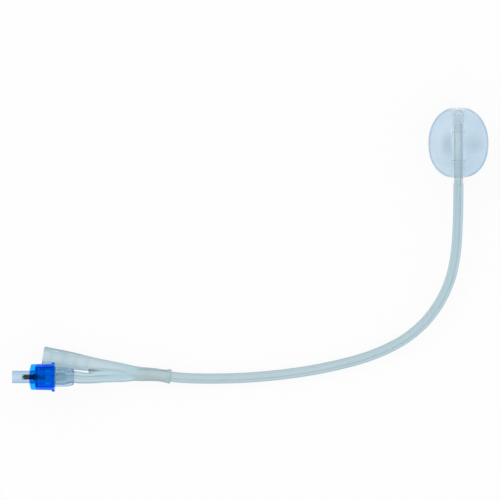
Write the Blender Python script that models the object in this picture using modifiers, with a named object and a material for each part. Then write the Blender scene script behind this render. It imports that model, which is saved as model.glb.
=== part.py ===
"""Foley urinary catheter, two-way, silicone, 20 Fr with a 30 ml balloon, as it lies on a table.

The shaft is one extrusion with a drainage lumen and a small inflation lumen. A moulded Y joins it
to the drainage funnel and to the inflation arm, whose end is gripped in a clear one-way valve with
a coloured size cap. A thin balloon is bonded over the recessed end of the shaft, behind the tip.
Metres, +Z up, the table at z = 0. The catheter lies along +X, from the valve to the balloon.
"""

import math

import bmesh
import bpy
from mathutils import Vector

# Shaft extrusion
SHAFT_RADIUS = 0.003335
RECESS_RADIUS = 0.0029
DRAINAGE_LUMEN_RADIUS = 0.00175
INFLATION_LUMEN_RADIUS = 0.0004
LUMEN_WEB = 0.00045
DRAINAGE_LUMEN_OFFSET = 0.00045
LUMEN_ROLL = math.radians(35)
BOND_GAP = 0.0003

# Balloon, inflated with air
BALLOON_X = 0.1376
BALLOON_Y = 0.0709
BALLOON_RADIUS = 0.01985
BALLOON_POLE = 0.0236
DISTAL_FULLNESS = 2.1
PROXIMAL_FULLNESS = 2.3
BALLOON_FLAT_DEPTH = 0.00055
MEMBRANE = 0.00045
CUFF_WALL = 0.00045
CRATER_GAP = 0.0004
CRATER_RIM_RADIUS = 0.0010
DISTAL_FOLD = 0.0070
DISTAL_CUFF_LENGTH = 0.0051
PROXIMAL_FOLD = 0.0119
PROXIMAL_CUFF_LENGTH = 0.0154
INFLATION_PORT_RADIUS = 0.0005

# Tip
TIP_RADIUS = 0.0037
TIP_LENGTH = 0.0090
TIP_NOSE_LENGTH = 0.0042
TIP_BORE_RADIUS = 0.0022
TIP_BORE_SHOULDER = 0.0011
TIP_CROWN_RADIUS = 0.00154
TIP_CROWN_HEIGHT = 0.00028
TIP_NOSE_WALL = 0.0023
EYE_LENGTH = 0.0036
EYE_WIDTH = 0.0022
EYE_SETBACK = 0.0053

# Route of the shaft over the table, from its end in the Y to the balloon
SHAFT_ROUTE = [
    (-0.0747, -0.0821), (-0.0651, -0.0826), (-0.0544, -0.0838), (-0.0452, -0.0848), (-0.0332, -0.0853),
    (-0.0173, -0.0853), (-0.0013, -0.0847), (0.0146, -0.0834), (0.0304, -0.0815), (0.0461, -0.0789),
    (0.0617, -0.0755), (0.0770, -0.0712), (0.0918, -0.0652), (0.1055, -0.0572), (0.1173, -0.0464),
    (0.1264, -0.0335), (0.1327, -0.0189), (0.1359, -0.0034), (0.1371, 0.0125), (0.1375, 0.0283),
]
ROUTE_STEP = 0.0078
LIFT_LENGTH = 0.160
SOCKET_AXIS_HEIGHT = 0.00485
SETTLE_LENGTH = 0.030

# Moulded Y: socket for the shaft, drainage funnel and inflation arm. Routes run from the mouths to
# the shaft; a funnel station is its place, its outside and its bore, and an arm station is its
# place and how much of the valve's height it has there.
SOCKET_LENGTH = 0.0223
SOCKET_SHOULDER_WALL = 0.0011
SOCKET_WAIST_WALL = 0.00075
SOCKET_END_WALL = 0.0009
SOCKET_LIP_WALL = 0.0012
SOCKET_LIP_WIDTH = 0.0011
SOCKET_WAIST = 0.0096
FUNNEL_STATIONS = [
    (-0.1373, -0.0704, 0.00655, 0.0065, 0.0045),
    (-0.1183, -0.07345, 0.00610, 0.0057, 0.0037),
    (-0.1062, -0.0756, 0.00580, 0.0048, 0.00325),
    (-0.0952, -0.0773, 0.00550, 0.0042, 0.00265),
    (-0.0860, -0.0789, 0.00520, 0.0040, 0.00225),
]
RIB_FIRST = 0.0055
RIB_PITCH = 0.0081
RIB_COUNT = 4
RIB_HEIGHT = 0.00035
RIB_WIDTH = 0.0009
ARM_RADIUS = 0.0036
ARM_ROOT_RADIUS = 0.0043
ARM_COLLAR_RADIUS = 0.0039
ARM_CHANNEL_RADIUS = 0.0010
ARM_STATIONS = [(-0.1127, -0.0843, 0.965), (-0.1093, -0.0847, 0.850), (-0.1046, -0.0847, 0.642),
                (-0.0981, -0.0843, 0.374), (-0.0915, -0.0841, 0.187), (-0.0836, -0.0839, 0.065),
                (-0.0795, -0.0835, 0.022)]
WEB_STATIONS = [(-0.1070, 0.0007), (-0.1055, 0.0017), (-0.1020, 0.0026), (-0.0955, 0.0034),
                (-0.0870, 0.0040)]
CHANNEL_LEAD = 0.0009
PLUG_CONE_LENGTH = 0.0034
PLUG_CONE_SETBACK = 0.0016

# Inflation valve, measured along its axis from the face of the inlet
INLET_FACE_X = -0.1571
VALVE_Y = -0.0839
LUER_MOUTH_RADIUS = 0.00215
LUER_TAPER = 0.03
LUER_DEPTH = 0.0073
INLET_RADIUS = 0.00415
INLET_RIM_ROUND = 0.00055
INLET_BARREL_RADIUS = 0.0050
INLET_BARREL_LENGTH = 0.0052
INLET_FLANGE_THICKNESS = 0.0011
SEAT_START = 0.0130
SEAT_DEPTH = 0.0016
CHAMBER_RADIUS = 0.0029
CAP_FRONT = 0.0115
CAP_FRONT_WALL = 0.0037
CAP_FRONT_RADIUS = 0.00555
CAP_CHAMFER = 0.0009
CAP_RADIUS = 0.00852
CAP_REAR_RADIUS = 0.00872
CAP_LENGTH = 0.01665
CAP_FLANGE_RADIUS = 0.00978
CAP_FLANGE_THICKNESS = 0.00195
CAP_EDGE_ROUND = 0.00038
CAP_BORE = 0.0071
FIT_GAP = 0.00035
SEAT_GAP = 0.0003
CUP_WALL = 0.00105
CUP_BARE_WALL = 0.0012
CUP_LENGTH = 0.02375
CUP_SHOULDER_LENGTH = 0.0070
CUP_SHOULDER_RADIUS = 0.00642
CUP_END_RADIUS = 0.0047
NOZZLE_HUB_RADIUS = 0.0034
NOZZLE_HUB_LENGTH = 0.0037
NOZZLE_FLANGE_THICKNESS = 0.0025
NOZZLE_SPIGOT_RADIUS = 0.0021
NOZZLE_SPIGOT_LENGTH = 0.0064
NOZZLE_BORE = 0.0008
SPRING_POCKET_RADIUS = 0.0027
SPRING_POCKET_DEPTH = 0.0006
STOPPER_FRONT = 0.0075
STOPPER_SLEEVE_RADIUS = 0.0017
STOPPER_FLANGE_RADIUS = 0.00255
STOPPER_FLANGE_THICKNESS = 0.0011
STEM_ROD_RADIUS = 0.0006
STEM_HEAD_RADIUS = 0.0017
STEM_HEAD_THICKNESS = 0.00086
STEM_HEAD_ROUND = 0.00029
STEM_DISC_RADIUS = 0.0023
STEM_DISC_THICKNESS = 0.0006
STEM_TAIL_LENGTH = 0.0020
SPRING_COIL_RADIUS = 0.0019
SPRING_WIRE_RADIUS = 0.00022
SPRING_TURNS = 5

# Facets
TURN_STEPS = 28
PIN_STEPS = 20
NOZZLE_STEPS = 24
BALLOON_STEPS = 34
BALLOON_SIDE_STEPS = 17
RIM_STEPS = 5
FOLD_STEPS = 4
ROUND_STEPS = 3
SHOULDER_STEPS = 6
EYE_STEPS = 8
ROD_SIDES = 20
SHAFT_SIDES = 16
CHANNEL_SIDES = 12
LUMEN_SIDES = 10
FINE_SIDES = 8
LINE_SAMPLES = 24
ROD_SAMPLES = 4
BRANCH_SAMPLES = 3
SOCKET_STEPS = 4
COIL_STEPS = 14
SHARP_ANGLE = 40
MERGE = 0.00001


def make_collection(name):
    """An empty collection of that name in the scene."""
    collection = bpy.data.collections.new(name)
    bpy.context.scene.collection.children.link(collection)
    return collection


for old in list(bpy.data.objects):
    bpy.data.objects.remove(old, do_unlink=True)

PIECES = make_collection("foley_catheter")
CUTTERS = make_collection("foley_catheter_cutters")


def material(name, colour, roughness, metallic=0.0, alpha=1.0):
    """A Principled material in the piece's own colour."""
    made = bpy.data.materials.new(name)
    made.use_nodes = True
    shader = made.node_tree.nodes["Principled BSDF"]
    shader.inputs["Base Color"].default_value = (*colour, 1.0)
    shader.inputs["Roughness"].default_value = roughness
    shader.inputs["Metallic"].default_value = metallic
    shader.inputs["Alpha"].default_value = alpha
    return made


def add_object(name, data, collection=PIECES):
    """Links a new object; what goes to the cutters is only a tool."""
    made = bpy.data.objects.new(name, data)
    collection.objects.link(made)
    if collection is CUTTERS:
        made.hide_render = True
        made.display_type = "WIRE"
    return made


def finish(piece, finish_material):
    """Smooth shading with sharp edges kept, and the piece's material."""
    piece.data.shade_smooth()
    piece.data.set_sharp_from_angle(angle=math.radians(SHARP_ANGLE))
    piece.data.materials.clear()
    piece.data.materials.append(finish_material)
    return piece


def stations(points, radii):
    """Joins an axis and its radii, or one radius, into stations (x, y, z, radius)."""
    if not isinstance(radii, list):
        radii = [radii] * len(points)
    return [Vector((*point, radius)) for point, radius in zip(points, radii)]


def swept(name, rod, sides, collection=PIECES):
    """A round rod through its stations (x, y, z, radius), as a closed mesh."""
    curve = bpy.data.curves.new(name, "CURVE")
    curve.dimensions = "3D"
    curve.bevel_depth = max(station[3] for station in rod)
    curve.bevel_resolution = (sides - 4) // 2
    curve.use_fill_caps = True
    spline = curve.splines.new("POLY")
    spline.points.add(len(rod) - 1)
    for place, station in zip(spline.points, rod):
        place.co = (*station[:3], 1.0)
        place.radius = station[3] / curve.bevel_depth
    guide = add_object(name + "_curve", curve)
    bpy.context.view_layer.update()
    mesh = bpy.data.meshes.new_from_object(guide.evaluated_get(bpy.context.evaluated_depsgraph_get()))
    bpy.data.objects.remove(guide)
    bpy.data.curves.remove(curve)
    shell = bmesh.new()
    shell.from_mesh(mesh)
    bmesh.ops.remove_doubles(shell, verts=shell.verts, dist=MERGE)
    bmesh.ops.recalc_face_normals(shell, faces=shell.faces)
    shell.to_mesh(mesh)
    shell.free()
    mesh.name = name
    return add_object(name, mesh, collection)


def turned(name, outer, bore, steps=TURN_STEPS, collection=PIECES):
    """A turned piece about its local Z. outer and bore list (radius, height) from the low end up."""
    outline = list(reversed(outer)) + list(bore)
    mesh = bpy.data.meshes.new(name)
    corners = [(radius, 0.0, height) for radius, height in outline]
    edges = [(i, i + 1) for i in range(len(corners) - 1)]
    if bore:
        edges.append((len(corners) - 1, 0))
    mesh.from_pydata(corners, edges, [])
    piece = add_object(name, mesh, collection)
    screw = piece.modifiers.new("turn", "SCREW")
    screw.axis = "Z"
    screw.steps = steps
    screw.render_steps = steps
    screw.use_merge_vertices = True
    screw.merge_threshold = MERGE
    return piece


def apply_modifiers(piece):
    """Puts the evaluated shape into the object's own mesh."""
    bpy.context.view_layer.update()
    shape = piece.evaluated_get(bpy.context.evaluated_depsgraph_get())
    mesh = bpy.data.meshes.new_from_object(shape)
    piece.modifiers.clear()
    piece.data = mesh
    return piece


def combine(piece, other, operation):
    """A Boolean with the exact solver; it stays live on the piece."""
    boolean = piece.modifiers.new(operation.lower() + "_" + other.name, "BOOLEAN")
    boolean.operation = operation
    boolean.solver = "EXACT"
    boolean.object = other
    return piece


def arc(centre, radius, start_deg, end_deg, steps):
    """Points of an arc in (radius, height), counted from the +radius direction."""
    angles = [math.radians(start_deg + (end_deg - start_deg) * i / steps) for i in range(steps + 1)]
    return [(centre[0] + radius * math.cos(a), centre[1] + radius * math.sin(a)) for a in angles]


def shoulder(end_radius, radius, start, length):
    """A quarter ellipse in (radius, height), from (radius, start) to (end_radius, start + length)."""
    angles = [math.pi / 2 * i / SHOULDER_STEPS for i in range(SHOULDER_STEPS + 1)]
    return [(end_radius + (radius - end_radius) * math.cos(a), start + length * math.sin(a))
            for a in angles]


def smooth_route(points, samples=LINE_SAMPLES):
    """A cubic through points or stations. A tangent leans towards the shorter of its two chords."""
    knots = [Vector(point) for point in points]
    chords = [b - a for a, b in zip(knots, knots[1:])]
    spans = [chord.length for chord in chords]
    slopes = [chord / span for chord, span in zip(chords, spans)]
    tangents = [slopes[0]]
    for before, after, span_before, span_after in zip(slopes, slopes[1:], spans, spans[1:]):
        tangents.append((before * span_after + after * span_before) / (span_before + span_after))
    tangents.append(slopes[-1])
    line = []
    for i, span in enumerate(spans):
        for step in range(samples):
            t = step / samples
            ease = 3 * t ** 2 - 2 * t ** 3
            leaving = tangents[i] * span * (t ** 3 - 2 * t ** 2 + t)
            arriving = tangents[i + 1] * span * (t ** 3 - t ** 2)
            line.append(knots[i] * (1 - ease) + leaving + knots[i + 1] * ease + arriving)
    return line + [knots[-1]]


def at_distances(line, distances):
    """The points of a polyline at the given distances from its start."""
    found = []
    walked = 0.0
    wanted = list(distances)
    for a, b in zip(line, line[1:]):
        step = (b - a).length
        while wanted and walked + step >= wanted[0] - 1e-9:
            found.append(a.lerp(b, (wanted.pop(0) - walked) / step))
        walked += step
    return found + [line[-1]] * len(wanted)


def at_x(line, x):
    """Where a polyline that runs along +X crosses the plane at x."""
    for a, b in zip(line, line[1:]):
        if a.x <= x <= b.x:
            return a.lerp(b, (x - a.x) / (b.x - a.x))
    return line[-1]


def length_of(line):
    """The length of a polyline."""
    return sum((b - a).length for a, b in zip(line, line[1:]))


def smoothstep(t):
    """Eases from 0 to 1 with level ends."""
    t = min(max(t, 0.0), 1.0)
    return t * t * (3 - 2 * t)


SILICONE = material("clear_silicone", (0.60, 0.70, 0.76), 0.38, alpha=0.8)
MEMBRANE_SILICONE = material("balloon_silicone", (0.62, 0.75, 0.86), 0.25, alpha=0.45)
CLEAR_PLASTIC = material("clear_blue_plastic", (0.45, 0.62, 0.78), 0.12, alpha=0.45)
CAP_PLASTIC = material("cap_blue_plastic", (0.01, 0.13, 0.80), 0.22, alpha=0.9)
PIN_PLASTIC = material("white_pin_plastic", (0.85, 0.85, 0.83), 0.35)
STOPPER_RUBBER = material("black_stopper_rubber", (0.015, 0.015, 0.018), 0.6)
SPRING_STEEL = material("spring_steel", (0.55, 0.56, 0.58), 0.3, metallic=1.0)

# Shaft: route, radii and lumens
recess_end_y = BALLOON_Y + DISTAL_FOLD + BOND_GAP / 2 + DISTAL_CUFF_LENGTH
recess_start_y = BALLOON_Y - PROXIMAL_FOLD - PROXIMAL_CUFF_LENGTH - BOND_GAP
balloon_axis_height = BALLOON_RADIUS - BALLOON_FLAT_DEPTH
plan_route = smooth_route([(*p, 0.0) for p in SHAFT_ROUTE] + [(BALLOON_X, recess_start_y, 0.0)])
plan_length = length_of(plan_route)
lift_start = plan_length - LIFT_LENGTH


def shaft_height(distance):
    """Axis height: falls from the socket to the table, then rises as a beam lifted by the balloon."""
    rest = SHAFT_RADIUS + (SOCKET_AXIS_HEIGHT - SHAFT_RADIUS) * (
        1 - smoothstep((distance - SOCKET_LENGTH) / SETTLE_LENGTH))
    t = min(max((distance - lift_start) / LIFT_LENGTH, 0.0), 1.0)
    return rest + (balloon_axis_height - SHAFT_RADIUS) * (4 * t ** 3 - 3 * t ** 4)


route_count = round(plan_length / ROUTE_STEP)
route_distances = [plan_length * i / route_count for i in range(route_count + 1)]
shaft_axis = [Vector((p.x, p.y, shaft_height(d)))
              for p, d in zip(at_distances(plan_route, route_distances), route_distances)]
recess_ends = [Vector((BALLOON_X, recess_start_y + BOND_GAP / 2, balloon_axis_height)),
               Vector((BALLOON_X, recess_end_y, balloon_axis_height))]


def offset_route(points, side, up):
    """The route moved to its right-hand side and upwards, square to its direction."""
    moved = []
    for i, point in enumerate(points):
        ahead = points[min(i + 1, len(points) - 1)] - points[max(i - 1, 0)]
        right = ahead.cross(Vector((0, 0, 1))).normalized()
        moved.append(point + right * side + right.cross(ahead).normalized() * up)
    return moved


def extended(points, before, after):
    """The route with its ends moved outwards along their own directions."""
    start = points[0] + (points[0] - points[1]).normalized() * before
    end = points[-1] + (points[-1] - points[-2]).normalized() * after
    return [start] + points[1:-1] + [end]


def lumen(distance):
    """Sideways and upward parts of a lumen's distance from the shaft's axis."""
    return distance * math.sin(LUMEN_ROLL), distance * math.cos(LUMEN_ROLL)


inflation_offset = DRAINAGE_LUMEN_RADIUS - DRAINAGE_LUMEN_OFFSET + LUMEN_WEB + INFLATION_LUMEN_RADIUS
shaft_rod = stations(shaft_axis, SHAFT_RADIUS) + stations(recess_ends, RECESS_RADIUS)
shaft = swept("shaft", shaft_rod, SHAFT_SIDES)
lumen_axis = shaft_axis + [recess_ends[1]]
drainage_axis = offset_route(lumen_axis, *lumen(-DRAINAGE_LUMEN_OFFSET))
inflation_axis = offset_route(lumen_axis, *lumen(inflation_offset))
drainage_rod = stations(extended(drainage_axis, BOND_GAP, BOND_GAP), DRAINAGE_LUMEN_RADIUS)
drainage_lumen = swept("drainage_lumen", drainage_rod, LUMEN_SIDES, CUTTERS)
inflation_rod = stations(extended(inflation_axis, BOND_GAP, -BOND_GAP), INFLATION_LUMEN_RADIUS)
inflation_lumen = swept("inflation_lumen", inflation_rod, FINE_SIDES, CUTTERS)
balloon_centre = Vector((BALLOON_X, BALLOON_Y, balloon_axis_height))
to_inflation_lumen = Vector((math.sin(LUMEN_ROLL), 0, math.cos(LUMEN_ROLL)))
port_axis = [balloon_centre + to_inflation_lumen * r for r in (inflation_offset, RECESS_RADIUS + BOND_GAP)]
inflation_port = swept("inflation_port", stations(port_axis, INFLATION_PORT_RADIUS), FINE_SIDES, CUTTERS)
for cutter in (drainage_lumen, inflation_lumen, inflation_port):
    combine(shaft, cutter, "DIFFERENCE")
finish(shaft, SILICONE)

# Balloon: one membrane, turned in at both ends into a narrow crater and a cuff on the shaft
cuff_bore = RECESS_RADIUS + BOND_GAP
cuff_radius = cuff_bore + CUFF_WALL
crater_radius = cuff_radius + CRATER_GAP
fold_centre_radius = cuff_radius + CRATER_GAP / 2
rim_centre_radius = crater_radius + CRATER_RIM_RADIUS


def rim_tangent(fullness):
    """The angle in degrees, from the +radius direction, at which a crater's rim meets the balloon."""
    share = (rim_centre_radius + CRATER_RIM_RADIUS / 4) / BALLOON_RADIUS
    fall = share ** (fullness - 1) * (1 - share ** fullness) ** (1 / fullness - 1)
    return math.degrees(math.atan2(BALLOON_RADIUS, BALLOON_POLE * fall))


def balloon_end(fold, cuff_length, fullness, inset):
    """One end's outline from the membrane to the cuff, at +height, inset by the wall for the inside."""
    tangent = rim_tangent(fullness)
    touch = rim_centre_radius + CRATER_RIM_RADIUS * math.cos(math.radians(tangent))
    crown = BALLOON_POLE * (1 - (touch / BALLOON_RADIUS) ** fullness) ** (1 / fullness)
    rim_centre = (rim_centre_radius, crown - CRATER_RIM_RADIUS * math.sin(math.radians(tangent)))
    rim = arc(rim_centre, CRATER_RIM_RADIUS - inset, tangent, 180, RIM_STEPS)
    fold_height = fold + CRATER_GAP / 2
    turn = arc((fold_centre_radius, fold_height), CRATER_GAP / 2 + inset, 0, -180, FOLD_STEPS)
    if inset:
        turn[-1] = (cuff_bore, fold_height)
        return rim + turn + [(cuff_bore, fold_height + cuff_length)]
    return rim + turn + [(cuff_radius, fold_height + cuff_length)]


def balloon_side(inset):
    """The superellipse between the two rims, from the tip's rim down; each half has its fullness."""
    side = []
    for i in range(BALLOON_SIDE_STEPS + 1):
        half = 1 - 2 * i / BALLOON_SIDE_STEPS
        fullness = DISTAL_FULLNESS if half > 0 else PROXIMAL_FULLNESS
        share = (rim_centre_radius + CRATER_RIM_RADIUS) / BALLOON_RADIUS
        a = abs(half) * math.acos(share ** (fullness / 2))
        height = (BALLOON_POLE - inset) * math.sin(a) ** (2 / fullness)
        side.append(((BALLOON_RADIUS - inset) * math.cos(a) ** (2 / fullness), math.copysign(height, half)))
    return side


def balloon_outline(inset):
    """From the cuff at the tip, over the ellipse, to the cuff on the shaft's side."""
    distal = balloon_end(DISTAL_FOLD, DISTAL_CUFF_LENGTH, DISTAL_FULLNESS, inset)
    proximal = balloon_end(PROXIMAL_FOLD, PROXIMAL_CUFF_LENGTH, PROXIMAL_FULLNESS, inset)
    return (list(reversed(distal)) + balloon_side(inset)
            + [(radius, -height) for radius, height in proximal])


outside = balloon_outline(0.0)
inside = balloon_outline(MEMBRANE)
balloon = turned("balloon", list(reversed(outside)), list(reversed(inside)), BALLOON_STEPS)
balloon.rotation_euler = (-math.pi / 2, 0, 0)
balloon.location = (BALLOON_X, BALLOON_Y, balloon_axis_height)
apply_modifiers(balloon)
for corner in balloon.data.vertices:
    fullness = DISTAL_FULLNESS if corner.co.z > 0 else PROXIMAL_FULLNESS
    share = math.hypot(corner.co.x, corner.co.y) / BALLOON_RADIUS
    superellipse = share ** fullness + (abs(corner.co.z) / BALLOON_POLE) ** fullness
    is_outside = superellipse > 1 - MEMBRANE / BALLOON_RADIUS
    floor = balloon_axis_height if is_outside else balloon_axis_height - MEMBRANE
    corner.co.y = min(corner.co.y, floor)
finish(balloon, MEMBRANE_SILICONE)

# Tip: closed round nose with two side eyes, bonded to the end of the shaft
nose_start = TIP_LENGTH - TIP_NOSE_LENGTH
nose = shoulder(0.0, TIP_RADIUS, nose_start, TIP_NOSE_LENGTH)
bore_end = TIP_LENGTH - TIP_NOSE_WALL
tip_bore = [(TIP_BORE_RADIUS, 0.0), (TIP_BORE_RADIUS, bore_end - TIP_BORE_SHOULDER),
            (TIP_CROWN_RADIUS, bore_end - TIP_CROWN_HEIGHT)]
tip = turned("tip", [(TIP_RADIUS, 0.0)] + nose[:-1] + [(0.0, TIP_LENGTH), (0.0, bore_end)], tip_bore)
tip.rotation_euler = (-math.pi / 2, 0, 0)
tip.location = (BALLOON_X, recess_end_y + BOND_GAP, balloon_axis_height)
eye_y = recess_end_y + BOND_GAP + TIP_LENGTH - EYE_SETBACK
eye_half = (EYE_LENGTH - EYE_WIDTH) / 2
eye_outline = [(x, z + eye_half) for x, z in arc((0, 0), EYE_WIDTH / 2, 0, 180, EYE_STEPS)]
eye_outline += [(x, z - eye_half) for x, z in arc((0, 0), EYE_WIDTH / 2, 180, 360, EYE_STEPS)]
eye_curve = bpy.data.curves.new("eye_cutter", "CURVE")
eye_curve.dimensions = "2D"
eye_curve.fill_mode = "BOTH"
eye_curve.extrude = TIP_RADIUS * 2
eye_spline = eye_curve.splines.new("POLY")
eye_spline.points.add(len(eye_outline) - 1)
eye_spline.use_cyclic_u = True
for place, (x, y) in zip(eye_spline.points, eye_outline):
    place.co = (x, y, 0.0, 1.0)
eye_guide = add_object("eye_guide", eye_curve, CUTTERS)
eye_cutter = add_object("eye_cutter", bpy.data.meshes.new_from_object(eye_guide), CUTTERS)
bpy.data.objects.remove(eye_guide)
eye_shell = bmesh.new()
eye_shell.from_mesh(eye_cutter.data)
bmesh.ops.remove_doubles(eye_shell, verts=eye_shell.verts, dist=MERGE)
bmesh.ops.recalc_face_normals(eye_shell, faces=eye_shell.faces)
eye_shell.to_mesh(eye_cutter.data)
eye_shell.free()
eye_cutter.rotation_euler = (0, math.pi / 2, 0)
eye_cutter.location = (BALLOON_X, eye_y, balloon_axis_height)
combine(tip, eye_cutter, "DIFFERENCE")
finish(tip, SILICONE)

# Valve: stations along its axis, each seated on the one before it
cap_ledge = CAP_FRONT + CAP_FRONT_WALL
inlet_flange_front = cap_ledge + SEAT_GAP
inlet_flange_rear = inlet_flange_front + INLET_FLANGE_THICKNESS
cup_front = inlet_flange_rear + SEAT_GAP
inlet_end = inlet_flange_rear + INLET_BARREL_LENGTH
nozzle_front = inlet_end + SEAT_GAP
nozzle_flange_front = nozzle_front + NOZZLE_HUB_LENGTH
nozzle_flange_rear = nozzle_flange_front + NOZZLE_FLANGE_THICKNESS
nozzle_end = nozzle_flange_rear + NOZZLE_SPIGOT_LENGTH
plug_front = nozzle_flange_rear + SEAT_GAP
spring_seat = nozzle_front + SPRING_POCKET_DEPTH
cap_rear = CAP_FRONT + CAP_LENGTH
cup_radius = CAP_BORE - FIT_GAP
cup_bore = cup_radius - CUP_WALL - FIT_GAP
cup_end = cup_front + CUP_LENGTH
valve_bore = LUER_MOUTH_RADIUS - LUER_TAPER * LUER_DEPTH

# The valve lies on the funnel: its flange touches the funnel's side where the two pass each other
funnel_outside = [Vector(station[:4]) for station in FUNNEL_STATIONS]
flange_front = cap_rear - CAP_FLANGE_THICKNESS
beside = at_x(funnel_outside, INLET_FACE_X + flange_front)
reach = beside[3] + CAP_FLANGE_RADIUS + SEAT_GAP
valve_height = beside.z + math.sqrt(reach ** 2 - (beside.y - VALVE_Y) ** 2)


def on_valve(piece):
    """Turns a piece's local Z onto the valve's axis, with its origin on the inlet's face."""
    piece.rotation_euler = (0, math.pi / 2, 0)
    piece.location = (INLET_FACE_X, VALVE_Y, valve_height)
    return piece


inlet_outer = [(LUER_MOUTH_RADIUS, 0.0)]
inlet_outer += arc((INLET_RADIUS - INLET_RIM_ROUND, INLET_RIM_ROUND), INLET_RIM_ROUND, -90, 0, ROUND_STEPS)
inlet_outer += [(INLET_RADIUS, inlet_flange_front), (cup_radius, inlet_flange_front),
                (cup_radius, inlet_flange_rear), (INLET_BARREL_RADIUS, inlet_flange_rear),
                (INLET_BARREL_RADIUS, inlet_end)]
inlet_bore = [(valve_bore, LUER_DEPTH), (valve_bore, SEAT_START),
              (CHAMBER_RADIUS, SEAT_START + SEAT_DEPTH), (CHAMBER_RADIUS, inlet_end)]
valve_inlet = on_valve(turned("valve_inlet", inlet_outer, inlet_bore))
finish(apply_modifiers(valve_inlet), CLEAR_PLASTIC)

cap_hole = INLET_RADIUS + FIT_GAP
chamfer_end = CAP_FRONT + CAP_CHAMFER
round_radius = CAP_RADIUS - CAP_EDGE_ROUND
flange_round_radius = CAP_FLANGE_RADIUS - CAP_EDGE_ROUND
cap_outer = [(cap_hole, CAP_FRONT), (CAP_FRONT_RADIUS, CAP_FRONT), (round_radius, chamfer_end)]
cap_outer += arc((round_radius, chamfer_end + CAP_EDGE_ROUND), CAP_EDGE_ROUND, -45, 0, ROUND_STEPS)
cap_outer += [(CAP_REAR_RADIUS, flange_front)]
for height, start in ((flange_front + CAP_EDGE_ROUND, -90), (cap_rear - CAP_EDGE_ROUND, 0)):
    cap_outer += arc((flange_round_radius, height), CAP_EDGE_ROUND, start, start + 90, ROUND_STEPS)
cap_inner = [(cap_hole, cap_ledge), (CAP_BORE, cap_ledge)]
colour_cap = on_valve(turned("colour_cap", cap_outer + [(CAP_BORE, cap_rear)], cap_inner))
finish(apply_modifiers(colour_cap), CAP_PLASTIC)

cup_bare_radius = cup_bore + CUP_BARE_WALL
shoulder_start = cup_end - CUP_SHOULDER_LENGTH
arm_hole = ARM_COLLAR_RADIUS + FIT_GAP
plug_cone_start = shoulder_start + PLUG_CONE_SETBACK
cup_outer = [(cup_bore, cup_front), (cup_radius, cup_front), (cup_radius, cap_rear),
             (cup_bare_radius, cap_rear + FIT_GAP)]
cup_outer += shoulder(CUP_END_RADIUS, CUP_SHOULDER_RADIUS, shoulder_start, CUP_SHOULDER_LENGTH)
cup_inner = [(cup_bore, plug_cone_start), (arm_hole, plug_cone_start + PLUG_CONE_LENGTH),
             (arm_hole, cup_end)]
valve_cup = on_valve(turned("valve_cup", cup_outer, cup_inner))
finish(apply_modifiers(valve_cup), CLEAR_PLASTIC)

nozzle_outer = [(SPRING_POCKET_RADIUS, nozzle_front), (NOZZLE_HUB_RADIUS, nozzle_front),
                (NOZZLE_HUB_RADIUS, nozzle_flange_front), (INLET_BARREL_RADIUS, nozzle_flange_front),
                (INLET_BARREL_RADIUS, nozzle_flange_rear), (NOZZLE_SPIGOT_RADIUS, nozzle_flange_rear),
                (NOZZLE_SPIGOT_RADIUS, nozzle_end)]
nozzle_inner = [(SPRING_POCKET_RADIUS, spring_seat), (NOZZLE_BORE, spring_seat), (NOZZLE_BORE, nozzle_end)]
valve_nozzle = on_valve(turned("valve_nozzle", nozzle_outer, nozzle_inner, NOZZLE_STEPS))
finish(apply_modifiers(valve_nozzle), CLEAR_PLASTIC)

seat_slope = Vector((CHAMBER_RADIUS - valve_bore, SEAT_DEPTH)).normalized()
cone_start = SEAT_START + (SEAT_GAP - (valve_bore - STOPPER_SLEEVE_RADIUS) * seat_slope.y) / seat_slope.x
cone_end = cone_start + (STOPPER_FLANGE_RADIUS - STOPPER_SLEEVE_RADIUS) * seat_slope.y / seat_slope.x
stopper_end = cone_end + STOPPER_FLANGE_THICKNESS
stopper_bore = STEM_ROD_RADIUS + SEAT_GAP
stopper_outer = [(stopper_bore, STOPPER_FRONT), (STOPPER_SLEEVE_RADIUS, STOPPER_FRONT),
                 (STOPPER_SLEEVE_RADIUS, cone_start), (STOPPER_FLANGE_RADIUS, cone_end),
                 (STOPPER_FLANGE_RADIUS, stopper_end)]
stopper_inner = [(stopper_bore, stopper_end)]
valve_stopper = on_valve(turned("valve_stopper", stopper_outer, stopper_inner, PIN_STEPS))
finish(apply_modifiers(valve_stopper), STOPPER_RUBBER)

disc_front = stopper_end + SEAT_GAP
disc_rear = disc_front + STEM_DISC_THICKNESS
head_rear = STOPPER_FRONT - SEAT_GAP
head_front = head_rear - STEM_HEAD_THICKNESS
stem_end = disc_rear + STEM_TAIL_LENGTH
stem_outer = [(0.0, head_front), (STEM_HEAD_RADIUS - STEM_HEAD_ROUND, head_front),
              (STEM_HEAD_RADIUS, head_front + STEM_HEAD_ROUND), (STEM_HEAD_RADIUS, head_rear),
              (STEM_ROD_RADIUS, head_rear), (STEM_ROD_RADIUS, disc_front), (STEM_DISC_RADIUS, disc_front),
              (STEM_DISC_RADIUS, disc_rear), (STEM_ROD_RADIUS, disc_rear), (STEM_ROD_RADIUS, stem_end),
              (0.0, stem_end)]
valve_stem = on_valve(turned("valve_stem", stem_outer, [], PIN_STEPS))
finish(apply_modifiers(valve_stem), PIN_PLASTIC)

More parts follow.
